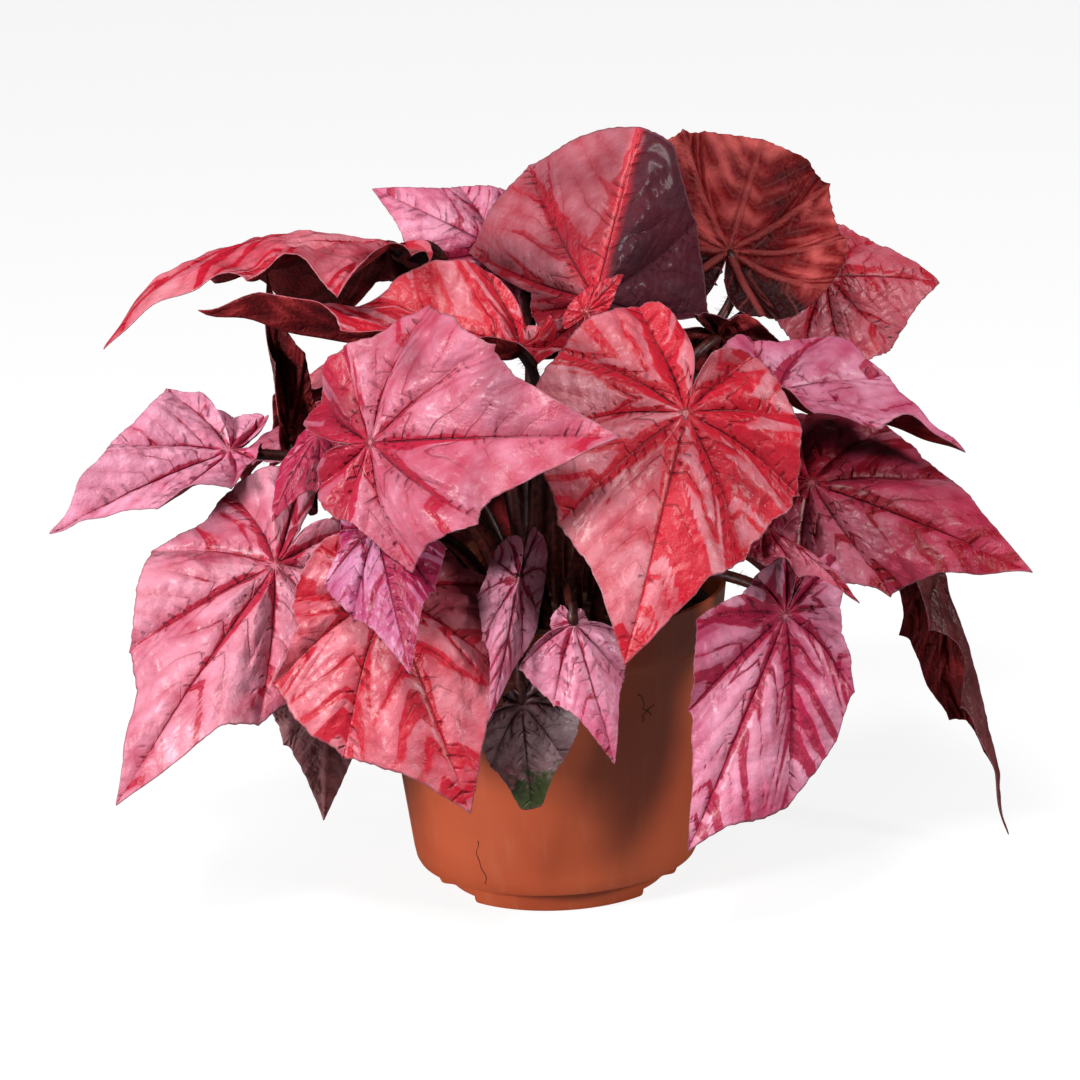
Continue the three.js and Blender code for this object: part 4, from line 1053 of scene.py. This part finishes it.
# A lighter copy of the underside for the crest leaf: painted light where it faces the lamps.
painted_lit_underside = under_skin("begonia_leaf_painted_lit_underside", "#240305", "#660c10", "#b04c4a", "#8e3a38")
mauve_underside = under_skin("begonia_leaf_mauve_underside", "#5a2c32", "#8a5458", "#b88084", "#a06468")
stalk_skin = hairy_stalk()
upper_skins = {tone: painted_skin(tone) for tone in TONES}
places = stalk_places(LEAVES)
for number, leaf in enumerate(LEAVES):
    plain = any(word in leaf["name"] for word in ("back", "shade", "young"))
    below = {"leaf_left_under": mauve_underside, "leaf_top_right": painted_lit_underside}.get(leaf["name"], underside)
    skins = (upper_skins[leaf["tone"]], below, stalk_skin)
    make_leaf(leaf, places[leaf["name"]], 10 * number + 100, PLAIN if plain else FINE, skins)

# ---- studio -------------------------------------------------------------------------------------
# A photographer's table: a wide white floor, soft lamps at the left, the right and the front, a bank
# of lamps overhead, and a camera on a tripod in front of the plant and a little above it.
FLOOR_HALF = 6.0
floor_mesh = bpy.data.meshes.new("studio_floor")
floor_mesh.from_pydata(
    [(x * FLOOR_HALF, y * FLOOR_HALF, 0) for x, y in ((-1, -1), (1, -1), (1, 1), (-1, 1))],
    [], [(0, 1, 2, 3)])
floor = bpy.data.objects.new("studio_floor", floor_mesh)
bpy.context.scene.collection.objects.link(floor)
card, card_tree = material("white_studio_card")
card_seen = node(card_tree, "LightPath").outputs["Is Camera Ray"]
card_glow = node(card_tree, "Math", (card_seen, 0.84), operation="MULTIPLY")
card_shader = node(card_tree, "BsdfPrincipled", {
    "Base Color": "#7c7c7c", "Roughness": 0.8, "Emission Color": "#ffffff", "Emission Strength": card_glow})
node(card_tree, "OutputMaterial", (card_shader,))
floor_mesh.materials.append(card)

world = bpy.data.worlds.new("studio")
bpy.context.scene.world = world
world.use_nodes = True
sky = world.node_tree
sky.nodes.clear()
seen = node(sky, "LightPath").outputs["Is Camera Ray"]
level = node(sky, "MapRange", {"Value": seen, 3: 0.035, 4: 1.0})
backdrop = node(sky, "Background", {"Color": "#ffffff", "Strength": level})
node(sky, "OutputWorld", (backdrop,))
LAMP_AIM = (0, 0, 0.13)
LAMP_SIZE = 0.4


def lamp(name, place, power):
    """A square area lamp at a place in metres, turned to look at the middle of the plant."""
    light = bpy.data.lights.new(name, "AREA")
    light.shape = "SQUARE"
    light.size = LAMP_SIZE
    light.energy = power
    made = bpy.data.objects.new(name, light)
    made.location = place
    made.rotation_euler = (Vector(LAMP_AIM) - Vector(place)).to_track_quat("-Z", "Y").to_euler()
    bpy.context.scene.collection.objects.link(made)


lamp("left_lamp", (-1.45, -0.95, 0.65), 36.0)
lamp("right_lamp", (1.5, -0.9, 0.85), 20.0)
lamp("front_lamp", (-0.3, -1.2, 1.9), 24.0)
sun = bpy.data.lights.new("overhead_bank", "SUN")
sun.energy = 0.6
sun.angle = math.radians(25)
overhead = bpy.data.objects.new("overhead_bank", sun)
overhead.rotation_euler = (math.radians(8), math.radians(-10), 0)
bpy.context.scene.collection.objects.link(overhead)

CAMERA_PLACE = (0.0, -1.5, 0.555)
CAMERA_PITCH_DEG = 15.97
CAMERA_YAW_DEG = -0.056
CAMERA_ROLL_DEG = 2.45
LENS_MM = 144.83
pitch, yaw, tilt = (math.radians(v) for v in (CAMERA_PITCH_DEG, CAMERA_YAW_DEG, CAMERA_ROLL_DEG))
look = Vector((math.sin(yaw) * math.cos(pitch), math.cos(yaw) * math.cos(pitch), -math.sin(pitch)))
level_right = look.cross(Vector((0, 0, 1))).normalized()
level_up = level_right.cross(look)
right = math.cos(tilt) * level_right - math.sin(tilt) * level_up
top = math.sin(tilt) * level_right + math.cos(tilt) * level_up
lens = bpy.data.cameras.new("camera")
lens.lens = LENS_MM
lens.sensor_width = 36.0
camera = bpy.data.objects.new("camera", lens)
turned = Matrix((right, top, -look)).transposed().to_4x4()
turned.translation = CAMERA_PLACE
camera.matrix_world = turned
bpy.context.scene.collection.objects.link(camera)
bpy.context.scene.camera = camera
bpy.context.scene.view_settings.view_transform = "Standard"

bpy.context.view_layer.update()
